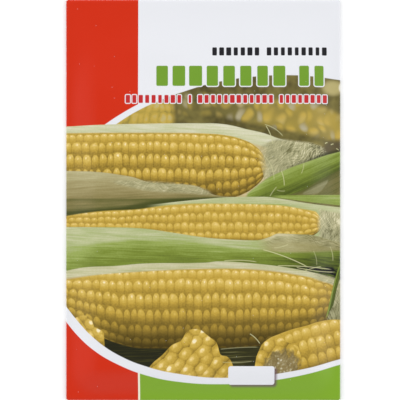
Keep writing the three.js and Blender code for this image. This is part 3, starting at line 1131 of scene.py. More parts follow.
@dataclass(frozen=True)
class BackPrint:
    """The print of the packet's back: bands, bars for text, a sowing chart with no words, and sprouts.

    Places across are measured from the side folds towards the seam, and places up from the packet's middle.
    """

    front_half: float  # half the front panel's width, up to the middle of its side folds
    crisp: float = 0.1  # how soft an edge is
    red_from: float = 58.1  # the lower edge of the red band at the top
    green_to: float = -66.1  # the upper edge of the green band at the bottom

    heading: Plate = Plate(25.0, 44.0, 17.0, 2.6, 1.0)
    bar_pitch: float = 4.2  # from one bar of text to the next
    bar_datum: float = -60.0  # the height from which they are counted
    bars_from: float = -43.8
    bars_to: float = 33.8
    bar_start: float = 8.0  # from the right fold to the bars
    bar_half: float = 22.0  # half the longest bar's length
    bar_loss: float = 4.0  # how much shorter half the shortest bar is
    bar_gaps: float = 0.11  # how many of the bars are left out, as a share of 1
    bar_seed: float = 5.0  # picks the bars' lengths

    left_inset: float = 6.0  # from the left fold to the chart and the sprouts
    month: float = 3.8  # from one month's cell to the next
    sowing: tuple[int, int] = (3, 6)  # the months from the first to before the second
    picking: tuple[int, int] = (7, 9)

    soil: Plate = Plate(29.0, -20.0, 23.0, 1.1, 0.6)
    sprouts: int = 4
    sprout_pitch: float = 11.5

    def bands(self, board: Board, y: Field) -> Colour:
        """Prints the white ground with its red and green bands.

        Args:
            board: The drawing board.
            y: The place up.

        Returns:
            The back's ground.
        """
        red = y.eased(self.red_from - self.crisp, self.red_from + self.crisp)
        base = board.over(Ink.WHITE.colour, red, Ink.RED.colour)
        green = y.eased(self.green_to + self.crisp, self.green_to - self.crisp)
        return board.over(base, green, Ink.GREEN.colour)

    def text(self, board: Board, x: Field, y: Field, base: Colour) -> Colour:
        """Prints plain grey bars of uneven length under a green heading, on the right wing.

        Args:
            board: The drawing board.
            x: The place across, from the right fold.
            y: The place up.
            base: What lies below.

        Returns:
            The print with the bars.
        """
        line = (y - self.bar_datum) * (1 / self.bar_pitch)
        luck, kept, _ = board.chance(line.floor(), 0.0, self.bar_seed)
        half = self.bar_half - self.bar_loss * luck
        bar = rounded(x - self.bar_start - half, (line.fraction() - 0.5) * self.bar_pitch, half, 0.75, 0.7)
        rows = y.amid(self.bars_from, self.bars_to, self.crisp)
        rows = rows * kept.eased(self.bar_gaps - 0.01, self.bar_gaps + 0.01)
        base = board.over(base, bar.eased(self.crisp, -self.crisp) * rows, Ink.GREY.colour)
        heading = self.heading.outside(x, y).eased(self.crisp, -self.crisp)
        return board.over(base, heading, Ink.GREEN.colour)

    def chart(self, board: Board, x: Field, y: Field, base: Colour) -> Colour:
        """Prints the year's twelve cells, green where the seed is sown and yellow where the cobs are picked.

        Args:
            board: The drawing board.
            x: The place across, from the left fold.
            y: The place up.
            base: What lies below.

        Returns:
            The print with the chart.
        """
        month = (x - self.left_inset) * (1 / self.month)
        cell = rounded((month.fraction() - 0.5) * self.month, y - 30.0, 1.75, 3.4, 0.5)
        cells = cell.eased(self.crisp, -self.crisp) * month.amid(0.0, 12.0, 0.02)
        ink = board.over(linear(0xD6D9DD), month.amid(*self.sowing, 0.01), Ink.GREEN.colour)
        return board.over(base, cells, board.over(ink, month.amid(*self.picking, 0.01), linear(0xE3B23A)))

    def plants(self, board: Board, x: Field, y: Field, base: Colour) -> Colour:
        """Prints the sprouts, each a stem and two leaves, in a row on a line of soil.

        Args:
            board: The drawing board.
            x: The place across, from the left fold.
            y: The place up.
            base: What lies below.

        Returns:
            The print with the sprouts.
        """
        base = board.over(base, self.soil.outside(x, y).eased(self.crisp, -self.crisp), linear(0x7A5A38))
        place = (x - self.left_inset) * (1 / self.sprout_pitch)
        px, py = (place.fraction() - 0.5) * self.sprout_pitch, y + 13.0
        stem = rounded(px, py, 0.35, 6.2, 0.3)
        leaf = ((abs(px) - 2.3) * 0.42) ** 2.0 + ((py - abs(px) * 0.9) * 0.85) ** 2.0
        sprout = stem.eased(self.crisp, -self.crisp).greater(leaf.eased(1.1, 0.9))
        return board.over(base, sprout * place.amid(0.0, self.sprouts, 0.01), linear(0x5D9130))

    def draw(self, board: Board, x: Field, y: Field) -> Colour:
        """Prints the whole back: text on the right wing, and the chart and the sprouts on the left one.

        Args:
            board: The drawing board.
            x: The place across the blank.
            y: The place up the blank.

        Returns:
            The back's print.
        """
        base = self.text(board, x - self.front_half, y, self.bands(board, y))
        from_left = -1.0 * x - self.front_half
        base = self.chart(board, from_left, y, base)
        return self.plants(board, from_left, y, base)


@dataclass(frozen=True)
class Printer:
    """Draws the print of the whole blank, front and back."""

    front_half: float  # half the front panel's width, up to the middle of its side folds
    wrap: float = 3.0  # how far the front's print runs round each side fold
    crisp: float = 0.12  # how soft an edge is
    block_edge: float = -30.8  # where the red block ends across the front
    block_gap: float = 0.9  # width of the cream line between the red and the green
    label_place: Plate = Plate(22.7, -82.9, 10.9, 4.5, 1.2)
    label_shadow: Plate = Plate(23.6, -83.8, 10.9, 4.5, 1.4)

    # The rounded picture, and the white band round it, which widens to the left
    CROWN = ((-66, 12.0), (-52, 27.5), (-40.3, 36.3), (-31.7, 41.7), (-20, 47.2), (-8.9, 51.3), (6, 55.6),
             (27, 58.6), (40, 59.0), (52, 58.4), (66, 56.7))
    BAND_CROWN = ((-66, 20.0), (-55, 29.5), (-47, 35.2), (-40.3, 39.7), (-31.7, 44.7), (-20, 50.5),
                  (0, 57.0), (30, 62.0), (66, 60.0))
    FOOT = ((-66, -49.3), (-59.7, -57.1), (-52.1, -64.8), (-40.7, -72.8), (-25.5, -79.0), (-10.3, -82.3),
            (8, -84.0), (25, -83.4), (38.6, -81.4), (50, -79.2), (66, -75.2))
    BAND_FOOT = ((-66, -56.6), (-59.7, -64.0), (-52.1, -70.6), (-40.7, -77.4), (-25.5, -83.2),
                 (-10.3, -86.1), (8, -87.1), (25, -86.2), (38.6, -84.3), (50, -81.9), (66, -77.8))

    LINES = (
        TextLine(((3.7, 27.1), (29.5, 59.0)), 68.4, 3.9, 3.35, 0.9, Ink.BLACK),
        TextLine(((-23.4, 39.9), (44.1, 58.3)), 53.9, 9.6, 7.9, 1.5, Ink.TITLE_GREEN, 0.5),
        TextLine(((-37.1, -9.8), (-7.4, -5.2), (-3.0, 33.5), (35.4, 59.0)), 45.8, 3.8, 3.0, 0.8,
                 Ink.LINE_RED, 0.4),
    )

    def text(self, board: Board, x: Field, y: Field, base: Colour) -> Colour:
        """Prints the blocks of every line of text.

        Args:
            board: The drawing board.
            x: The place across.
            y: The place up.
            base: What lies below.

        Returns:
            The print with the lines.
        """
        for line in self.LINES:
            base = line.draw(board, x, y, base)
        return base

    def label(self, board: Board, x: Field, y: Field, base: Colour) -> Colour:
        """Prints the bare label that lies over the band, with its soft shadow.

        Args:
            board: The drawing board.
            x: The place across.
            y: The place up.
            base: What lies below.

        Returns:
            The print with the label.
        """
        shadow = self.label_shadow.outside(x, y).eased(1.1, -0.7) * 0.85
        base = board.over(base, shadow, Ink.SHADOW.colour)
        paper = self.label_place.outside(x, y).eased(self.crisp, -self.crisp)
        return board.over(base, paper, Ink.WHITE.colour)

    def surround(self, board: Board, x: Field, y: Field, view: Colour) -> Colour:
        """Draws what surrounds the rounded picture: its white band, and the red, white and green blocks.

        Args:
            board: The drawing board.
            x: The place across.
            y: The place up.
            view: The picture that shows in the middle.

        Returns:
            The print with its surround.
        """
        picture = SweetcornPicture(board, x, y)
        right = x.eased(self.block_edge - self.crisp, self.block_edge + self.crisp)
        lower = y.eased(0.2, -0.2)
        blocks = board.over(Ink.RED.colour, right, Ink.WHITE.colour)
        blocks = board.over(blocks, lower * right, Ink.CREAM.colour)
        green_edge = self.block_edge + self.block_gap
        past_gap = x.eased(green_edge - self.crisp, green_edge + self.crisp)
        blocks = board.over(blocks, lower * past_gap, Ink.GREEN.colour)
        blocks = board.over(blocks, picture.between(self.BAND_CROWN, self.BAND_FOOT), Ink.WHITE.colour)
        inside = picture.between(self.CROWN, self.FOOT).greater(picture.standing_out())
        return board.over(blocks, inside, view)

    def back(self, board: Board, x: Field, y: Field, front: Colour) -> Colour:
        """Lays the back's print over the front's, past where the front's runs round the side folds.

        Args:
            board: The drawing board.
            x: The place across the blank.
            y: The place up the blank.
            front: The front's print.

        Returns:
            The whole print.
        """
        base = BackPrint(self.front_half).draw(board, x, y)
        past = abs(x).eased(self.front_half + self.wrap - 0.1, self.front_half + self.wrap + 0.1)
        return board.over(front, past, base)

    def draw(self, board: Board, x: Field, y: Field) -> Colour:
        """Draws the print of the whole blank, the front first and then the back past its side folds.

        Args:
            board: The drawing board.
            x: The place across the blank, in millimetres.
            y: The place up the blank, in millimetres.

        Returns:
            The whole print.
        """
        base = SweetcornPicture.draw(board, x, y, Ink.WHITE.colour)
        base = board.layer(self.surround, x, y, base)
        base = board.layer(self.text, x, y, base)
        base = board.layer(self.label, x, y, base)
        return board.layer(self.back, x, y, base)


# ---- Finishes ----


def new_material(name: str) -> tuple[bpy.types.Material, Board, bpy.types.Node]:
    """Makes a material with one glossy surface shader.

    Args:
        name: The material's name.

    Returns:
        The material, a board over its nodes, and its surface shader.
    """
    material = bpy.data.materials.new(name)
    material.use_nodes = True
    return material, Board(material.node_tree), material.node_tree.nodes["Principled BSDF"]


def emboss(board: Board, shader: bpy.types.Node, pattern: Field, depth: float) -> None:
    """Raises a material's surface by a pattern.

    Args:
        board: The board over the material's nodes.
        shader: Its surface shader.
        pattern: The pattern, where 1 is high.
        depth: How high 1 stands above 0, in metres.
    """
    bump = board.node("ShaderNodeBump")
    bump.inputs["Distance"].default_value = depth
    board.feed(bump.inputs["Height"], pattern)
    board.feed(shader.inputs["Normal"], bump.outputs[0])


@dataclass(frozen=True)
class CoatedPrint:
    """The printed face of the sheet: ink under a thin satin coat, cracked white along the folds."""

    front_half: float  # from the middle to the middle of a side fold, in millimetres
    fold_end: float  # from the middle to the middle of an end fold, in millimetres
    gloss: float = 0.36
    tooth: float = 0.012 * MM  # height of the paper's surface texture

    def near(self, distance: Field) -> Field:
        """Is 1 on a fold, given the distance past its middle in millimetres."""
        return distance.eased(-0.6, -0.2) * distance.eased(0.8, 0.4)

    def make(self) -> bpy.types.Material:
        """Makes the material.

        Returns:
            The new material.
        """
        material, board, shader = new_material("coated_print")
        x, y, _ = board.attribute(BLANK)
        colour = Printer(self.front_half).draw(board, x, y)
        folds = self.near(abs(x) - self.front_half).greater(self.near(abs(y) - self.fold_end))
        flecks = board.noise(x, y, scale=1.4, detail=4.0).eased(0.6, 0.68) * folds
        distance, _, _, luck = board.lumps(x * 0.12, y * 0.12, loose=1.0)
        specks = distance.eased(0.02, 0.008) * luck.eased(0.8, 0.82)
        colour = board.over(colour, (flecks * 0.5).greater(specks * 0.7), Ink.WHITE.colour)
        board.feed(shader.inputs["Base Color"], colour)

        smear = board.noise(x, y, scale=0.035, detail=3.0)
        board.feed(shader.inputs["Roughness"], self.gloss - 0.06 + 0.14 * smear + flecks * 0.3)
        grain = board.noise(x, y, scale=1.6, detail=3.0) + 1.4 * board.noise(x, y, scale=0.3, detail=1.0)
        emboss(board, shader, grain, self.tooth)
        shader.inputs["Specular IOR Level"].default_value = 0.3
        return material


@dataclass(frozen=True)
class BarePaper:
    """The sheet's unprinted side and its cut edges: matt white fibres."""

    name: str
    shade: int  # as 0xRRGGBB
    tooth: float = 0.02 * MM  # how far the fibres stand up

    def make(self) -> bpy.types.Material:
        """Makes the material.

        Returns:
            The new material.
        """
        material, board, shader = new_material(self.name)
        x, y, _ = board.attribute(BLANK)
        fibres = board.noise(x * 3.0, y * 0.8, scale=1.0, detail=3.0)
        paper = board.over(linear(self.shade), fibres * 0.35, linear(0xD9D5C8))
        board.feed(shader.inputs["Base Color"], paper)
        board.feed(shader.inputs["Roughness"], 0.8 + 0.15 * fibres)
        emboss(board, shader, fibres, self.tooth)
        return material


@dataclass(frozen=True)
class DriedGlue:
    """A dried film of white glue: milky, glossy, with small bubbles and drag lines."""

    drag_height: float = 0.02 * MM  # of the lines that the brush left

    def make(self) -> bpy.types.Material:
        """Makes the material.

        Returns:
            The new material.
        """
        material, board, shader = new_material("dried_glue")
        place = board.node("ShaderNodeTexCoord").outputs["Object"]
        x, y, _ = board.split(place)
        x, y = x * (1 / MM), y * (1 / MM)
        drag = board.noise(x * 1.5, y * 0.15, scale=1.0, detail=2.0)
        distance, _, _, luck = board.lumps(x * 0.7, y * 0.7, loose=1.0)
        bubbles = distance.eased(0.22, 0.16) * luck.eased(0.6, 0.65)
        cloud = board.over(linear(0xE6DCC0), drag, linear(0xF2ECD8))
        board.feed(shader.inputs["Base Color"], board.over(cloud, bubbles * 0.5, linear(0xC9B98E)))
        board.feed(shader.inputs["Roughness"], 0.25 + 0.3 * drag)
        emboss(board, shader, drag - bubbles, self.drag_height)
        return material


@dataclass(frozen=True)
class DrySeed:
    """A dried sweetcorn seed: wrinkled amber skin, a paler germ on its upper face and a chalky tip."""

    wrinkle: float = 0.12 * MM  # depth of the skin's fine wrinkles

    def make(self) -> bpy.types.Material:
        """Makes the material.

        Returns:
            The new material.
        """
        material, board, shader = new_material("dry_seed")
        x, y, z = board.attribute(KERNEL)
        wrinkles = board.noise(x * 5.0, y * 1.6, scale=1.0, detail=3.0)
        tone = 0.25 + 0.5 * wrinkles + 0.25 * y
        colour = board.ramp(tone, Ramp.SEED)
        germ = ((x * 1.9) ** 2.0 + ((y + 0.25) * 1.3) ** 2.0).eased(0.7, 0.35) * z.eased(0.2, 0.6)
        colour = board.over(colour, germ * 0.7, linear(0xE3CC98))
        colour = board.over(colour, y.eased(-0.72, -0.9), linear(0xD9C8A2))
        board.feed(shader.inputs["Base Color"], colour)
        board.feed(shader.inputs["Roughness"], 0.34 + 0.3 * wrinkles)
        emboss(board, shader, board.noise(x * 6.0, y * 2.0, scale=1.3, detail=4.0), self.wrinkle)
        shader.inputs["Subsurface Weight"].default_value = 0.15
        shader.inputs["Subsurface Radius"].default_value = (1.0 * MM, 0.5 * MM, 0.2 * MM)
        return material


# ---- Modelling helpers ----


def deselect() -> None:
    """Deselects every object."""
    bpy.ops.object.select_all(action="DESELECT")


def make_active(piece: bpy.types.Object) -> None:
    """Selects one piece and nothing else."""
    deselect()
    piece.select_set(True)
    bpy.context.view_layer.objects.active = piece


def apply_modifier(piece: bpy.types.Object, kind: str, **settings: object) -> None:
    """Adds a modifier with its settings and applies it.

    Args:
        piece: The piece.
        kind: The modifier's type.
        **settings: Properties to set on it.
    """
    make_active(piece)
    modifier = piece.modifiers.new(kind.title(), kind)
    for name, value in settings.items():
        setattr(modifier, name, value)
    bpy.ops.object.modifier_apply(modifier=modifier.name)


def select_edges(piece: bpy.types.Object, chosen: Callable[[Vector, Vector], bool]) -> None:
    """Selects, in edit mode, the edges whose two ends pass a test of their places.

    Args:
        piece: The piece, in edit mode.
        chosen: The test, given the places of an edge's two ends.
    """
    bpy.ops.mesh.select_all(action="DESELECT")
    mesh = bmesh.from_edit_mesh(piece.data)
    for edge in mesh.edges:
        if chosen(edge.verts[0].co, edge.verts[1].co):
            edge.select_set(True)
    bmesh.update_edit_mesh(piece.data)


def node_names(start: str) -> list[str]:
    """Gives, in order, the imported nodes' names with a given start."""
    return [name for name in sorted(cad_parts) if name.startswith(start)]


def places(piece: bpy.types.Object) -> np.ndarray:
    """Gives a mesh's vertices as rows of x, y and z.

    Args:
        piece: The piece.

    Returns:
        One row for each vertex, in metres.
    """
    flat = np.empty(len(piece.data.vertices) * 3, np.float32)
    piece.data.vertices.foreach_get("co", flat)
    return flat.reshape(-1, 3).astype(float)


def move_to(piece: bpy.types.Object, points: np.ndarray) -> None:
    """Moves a mesh's vertices to new places."""
    piece.data.vertices.foreach_set("co", points.astype(np.float32).ravel())
    piece.data.update()


def store(piece: bpy.types.Object, name: str, values: np.ndarray) -> None:
    """Stores a vector for each vertex as an attribute."""
    attribute = piece.data.attributes.new(name, "FLOAT_VECTOR", "POINT")
    attribute.data.foreach_set("vector", values.astype(np.float32).ravel())


def smooth(value: np.ndarray, start: float, end: float) -> np.ndarray:
    """Rises smoothly from 0 at start to 1 at end."""
    share = np.clip((value - start) / (end - start), 0.0, 1.0)
    return share * share * (3.0 - 2.0 * share)


def ripples(x: np.ndarray, y: np.ndarray, length: float, seed: int) -> np.ndarray:
    """Gives smooth, uneven ripples, as the sum of a few waves in seeded directions.

    Args:
        x: Places across, in metres.
        y: Places along, in metres.
        length: The ripples' typical length, in metres.
        seed: Picks the directions and phases.

    Returns:
        Heights from about -1 to 1.
    """
    dice = np.random.default_rng(seed)
    total = np.zeros_like(x)
    waves = 7
    for _ in range(waves):
        angle, phase = dice.uniform(0.0, 2.0 * math.pi, 2)
        pitch = 2.0 * math.pi / (length * dice.uniform(0.7, 1.6))
        total += np.sin((x * math.cos(angle) + y * math.sin(angle)) * pitch + phase)
    return total / math.sqrt(2.0 * waves)


# ---- The packet ----


@dataclass
class Envelope:
    """The folded sheet: a front panel, a back wing on each side, and a flap at each end."""

    paper: float = 0.12 * MM
    layer: float = 0.28 * MM  # from one glued layer of paper to the next
    fold_reach: float = 0.5 * MM  # half the width of a pressed fold
    fold_rise: float = 1.1 * MM  # from the back layer to the front layer beside a fold
    glue_margin: float = 2.0 * MM  # paper left dry past a glue film's edge
    flap_taper: float = 10.0 * MM  # how much each side of a flap narrows
    ramp: float = 7.0 * MM  # length over which a wing climbs to the next layer
    seam_margin: float = 1.0 * MM  # from the end of that climb to the edge of the wing below
    cell: float = 1.25 * MM  # size of the mesh's squares
    fold_cuts: int = 5  # cuts along the strip of mesh that makes a fold

    belly_half: float = 49.0 * MM  # half the width of the plateau that the seed holds up
    belly_low: float = -79.0 * MM  # where the plateau starts, from the packet's middle
    belly_high: float = 36.0 * MM  # where it ends
    top_margin: float = 4.0 * MM  # flat paper between the belly's slope and the top fold
    sag: float = 0.3 * MM  # how far the paper dips between seeds
    seed_reach: float = 5.2 * MM  # how far from a seed's middle it still holds the paper up
    pressed: float = 6.0 * MM  # width of the strip along the folds where no wave reaches its full height
    buckle: float = 0.16 * MM  # height of the short buckles on the belly's slopes
    buckle_length: float = 17.0 * MM
    wave: float = 0.09 * MM  # height of the long waves all over
    wave_length: float = 38.0 * MM
    settle: float = 0.05 * MM  # how far the waves' middle lies below a flat sheet

    def __post_init__(self) -> None:
        """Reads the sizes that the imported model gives."""
        low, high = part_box("envelope_sheet")
        self.fold_x = high.x - self.paper / 2 - self.fold_reach
        self.fold_y = high.y - self.paper / 2 - self.fold_reach
        self.ground = low.z + self.paper / 2
        self.front_edge = self.ground + self.fold_rise
        self.belly = high.z - self.paper / 2 - self.front_edge
        self.bottom_flap_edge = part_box("bottom_flap_glue")[1].y + self.glue_margin
        self.top_flap_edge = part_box("top_flap_glue")[0].y - self.glue_margin
        self.seam_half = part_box("seam_glue")[1].x + self.glue_margin
        self.arc = math.pi * (self.fold_reach + self.fold_rise / 2) / 2
        self.wing = self.fold_x + self.seam_half
        self.flap = self.fold_y - self.top_flap_edge
        self.seeds = [sum(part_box(name), Vector()) / 2 for name in node_names("seed_")]

    # -- The flat blank --

    def cut_blank(self) -> bpy.types.Object:
        """Cuts the flat blank from a grid: the front panel first, then its wings and flaps.

        Returns:
            The blank, as one flat mesh.
        """
        deselect()
        columns, rows = (round(2 * half / self.cell) for half in (self.fold_x, self.fold_y))
        bpy.ops.mesh.primitive_grid_add(x_subdivisions=columns, y_subdivisions=rows, size=1.0)
        piece = bpy.context.object
        piece.name = "printed_envelope"
        bpy.ops.object.mode_set(mode="EDIT")
        bpy.ops.mesh.select_mode(type="EDGE")
        bpy.ops.mesh.select_all(action="SELECT")
        bpy.ops.transform.resize(value=(2 * self.fold_x, 2 * self.fold_y, 1.0))
        for side in (-1, 1):
            self.extend(piece, Vector((side, 0.0, 0.0)), self.fold_x, self.arc, self.fold_cuts)
            self.extend(piece, Vector((side, 0.0, 0.0)), self.fold_x + self.arc, self.wing)
        for side, length in ((-1, self.fold_y + self.bottom_flap_edge), (1, self.flap)):
            way = Vector((0.0, side, 0.0))
            self.extend(piece, way, self.fold_y, self.arc, self.fold_cuts)
            self.extend(piece, way, self.fold_y + self.arc, length, taper=self.flap_taper)
        bpy.ops.object.mode_set(mode="OBJECT")
        return piece

    def extend(self, piece: bpy.types.Object, way: Vector, start: float, length: float, cuts: int = 0,
               taper: float = 0.0) -> None:
        """Extrudes the blank's edge on one side, and cuts the new strip into the mesh's squares.

        Args:
            piece: The blank, in edit mode.
            way: The side, as a unit vector.
            start: How far the edge is from the middle.
            length: How far to extrude it.
            cuts: Cuts along the strip, or 0 for squares of the usual size.
            taper: How much each side of the strip narrows.
        """
        slack = 0.01 * MM
        cuts = cuts or round(length / self.cell) - 1
        widest = self.fold_x + slack if way.y else math.inf
        select_edges(piece, lambda a, b: all(
            abs(end.dot(way) - start) < slack and abs(end.x) < max(widest, start * abs(way.x) + slack)
            for end in (a, b)
        ))
        bpy.ops.mesh.extrude_region_move(TRANSFORM_OT_translate={"value": way * length})
        if taper:
            narrowed = 1.0 - taper / self.fold_x
            bpy.ops.transform.resize(value=(narrowed, 1.0, 1.0), center_override=(0.0, 0.0, 0.0))
        middle = start + length / 2
        select_edges(piece, lambda a, b: (a.dot(way) - middle) * (b.dot(way) - middle) < 0)
        bpy.ops.mesh.subdivide(number_cuts=cuts)

    # -- Heights of the folded sheet --

    def wing_height(self, x: np.ndarray, y: np.ndarray, left: np.ndarray) -> np.ndarray:
        """Gives a back wing's height: it climbs over the flaps, and the left wing over the right one.

        Args:
            x: Places across, after the fold.
            y: Places along.
            left: Which of them are on the left wing.

        Returns:
            The heights.
        """
        over_flaps = (
            smooth(-y, -self.bottom_flap_edge - self.ramp, -self.bottom_flap_edge)
            + smooth(y, self.top_flap_edge - self.ramp, self.top_flap_edge)
        )
        over_seam = smooth(x, -self.seam_half - self.ramp, -self.seam_half - self.seam_margin)
        return self.ground + self.layer * (over_flaps + np.where(left, over_seam, 0.0))

    def front_height(self, x: np.ndarray, y: np.ndarray) -> np.ndarray:
        """Gives the front's height: a plateau on the seed, dipped between seeds, with soft buckles.

        Args:
            x: Places across.
            y: Places along.

        Returns:
            The heights.
        """
        across = 1.0 - smooth(np.abs(x), self.belly_half, self.fold_x)
        along = smooth(y, -self.fold_y, self.belly_low)
        along *= 1.0 - smooth(y, self.belly_high, self.fold_y - self.top_margin)
        inside = across * along
        held = np.zeros_like(x)
        for seed in self.seeds:
            off = ((x - seed.x) ** 2 + (y - seed.y) ** 2) / self.seed_reach ** 2
            held = np.maximum(held, np.exp(-off))
        dip = self.sag * (1.0 - held) * smooth(inside, 0.3, 1.0)
        free = smooth(self.fold_x - np.abs(x), 0.0, self.pressed)
        free = free * smooth(self.fold_y - np.abs(y), 0.0, self.pressed)
        slope = 4.0 * inside * (1.0 - inside)
        buckles = self.buckle * slope * ripples(x * 0.35, y, self.buckle_length, seed=4)
        waves = self.wave * (1.0 - 0.6 * inside) * ripples(x, y, self.wave_length, seed=9)
        return self.front_edge + self.belly * inside - dip + free * (buckles + waves - self.settle)

    # -- Folding --

    def fold(self, piece: bpy.types.Object) -> None:
        """Folds the blank: the wings round the sides, then the flaps over them.

        Args:
            piece: The flat blank.
        """
        flat = places(piece)
        x, y = flat[:, 0], flat[:, 1]
        side, end = np.sign(x), np.sign(y)
        past_x, past_y = np.abs(x) - self.fold_x, np.abs(y) - self.fold_y
        turn_x = np.clip(past_x / self.arc, 0.0, 1.0) * math.pi
        turn_y = np.clip(past_y / self.arc, 0.0, 1.0) * math.pi

        folded_x = np.where(past_x > self.arc, side * (self.fold_x + self.arc - past_x), side * self.fold_x)
        new_x = np.where(past_x > 0, folded_x + side * self.fold_reach * np.sin(turn_x), x)
        folded_y = np.where(past_y > self.arc, end * (self.fold_y + self.arc - past_y), end * self.fold_y)
        new_y = np.where(past_y > 0, folded_y + end * self.fold_reach * np.sin(turn_y), y)

        top = self.front_height(np.clip(x, -self.fold_x, self.fold_x), np.clip(y, -self.fold_y, self.fold_y))
        low = self.wing_height(new_x, y, x < 0)
        low = np.where(past_y > 0, self.ground, low)
        turn = np.maximum(turn_x, turn_y)
        height = (top + low) / 2 + (top - low) / 2 * np.cos(turn)
        move_to(piece, np.column_stack((new_x, new_y, height)))

    # -- The map laid out for baking the print --

    def lay_out(self, piece: bpy.types.Object) -> None:
        """Lays out a map of the sheet: the front large, and the rest small beside it.

        Args:
            piece: The folded sheet, with its thickness and materials.
        """
        mesh = piece.data
        blank = np.empty(len(mesh.vertices) * 3, np.float32)
        mesh.attributes[BLANK].data.foreach_get("vector", blank)
        blank = blank.reshape(-1, 3) * MM
        corners = np.empty(len(mesh.loops), np.int32)
        mesh.loops.foreach_get("vertex_index", corners)
        faces = np.repeat(np.arange(len(mesh.polygons)), [len(face.vertices) for face in mesh.polygons])
        kind = np.array([face.material_index for face in mesh.polygons])[faces]
        middle = np.array([blank[list(face.vertices), :2].mean(0) for face in mesh.polygons])[faces]
        across, along = blank[corners, 0], blank[corners, 1]

        gap = 0.006  # between the map's areas, as a share of the map
        side_fold, end_fold = self.fold_x + self.arc, self.fold_y + self.arc
        length, width = 2 * end_fold, 2 * side_fold
        scale = (1.0 - 2 * gap) / length
        u, v = gap + (along + end_fold) * scale, gap + (side_fold - across) * scale

        small = 0.36 * scale  # for the back
        shelf = 2 * gap + width * scale
        wing = np.abs(middle[:, 0]) > side_fold
        flap = np.abs(middle[:, 1]) > end_fold
        right, top = middle[:, 0] > 0, middle[:, 1] > 0
        wing_start = gap + np.where(right, length * small + gap, 0.0)
        u = np.where(wing, wing_start + (along + end_fold) * small, u)
        v = np.where(wing, shelf + (np.abs(across) - side_fold) * small, v)
        flap_start = gap + 2 * (length * small + gap)
        longest_flap = 26 * MM
        flap_shelf = shelf + np.where(top, longest_flap * small + gap, 0.0)
        u = np.where(flap, flap_start + (across + self.fold_x) * small, u)
        v = np.where(flap, flap_shelf + (np.abs(along) - end_fold) * small, v)

        tiny = 0.13 * scale  # for the inside and the cut edges
        inner_shelf = shelf + self.wing * small + gap
        inner_u = gap + (across + side_fold + self.wing) * tiny
        inner_v = inner_shelf + (along + end_fold + self.flap) * tiny
        edge_u = inner_u + 2 * (side_fold + self.wing) * tiny + gap
        u = np.choose(kind, (u, inner_u, edge_u))
        v = np.choose(kind, (v, inner_v, inner_v))
        layer = mesh.uv_layers.get("OFBake") or mesh.uv_layers.new(name="OFBake")
        layer.data.foreach_set("uv", np.column_stack((u, v)).astype(np.float32).ravel())
        mesh.uv_layers.active = layer

    # -- The finished piece --

    def make(self) -> bpy.types.Object:
        """Makes the printed, folded sheet.

        Returns:
            The finished piece.
        """
        piece = self.cut_blank()
        while piece.data.uv_layers:
            piece.data.uv_layers.remove(piece.data.uv_layers[0])
        store(piece, BLANK, places(piece) / MM)
        self.fold(piece)
        face = CoatedPrint((self.fold_x + self.arc / 2) / MM, (self.fold_y + self.arc / 2) / MM)
        for finish in (face, BarePaper("inner_paper", 0xE6E4DC), BarePaper("cut_edge", 0xF1EFE8)):
            piece.data.materials.append(finish.make())
        apply_modifier(piece, "SOLIDIFY", thickness=self.paper, offset=0.0, material_offset=1,
                       material_offset_rim=2)
        self.lay_out(piece)
        make_active(piece)
        bpy.ops.object.shade_smooth_by_angle(angle=math.radians(40.0))
        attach(piece, "root")
        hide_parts("envelope_sheet")
        log.info("%s: %d faces", piece.name, len(piece.data.polygons))
        return piece


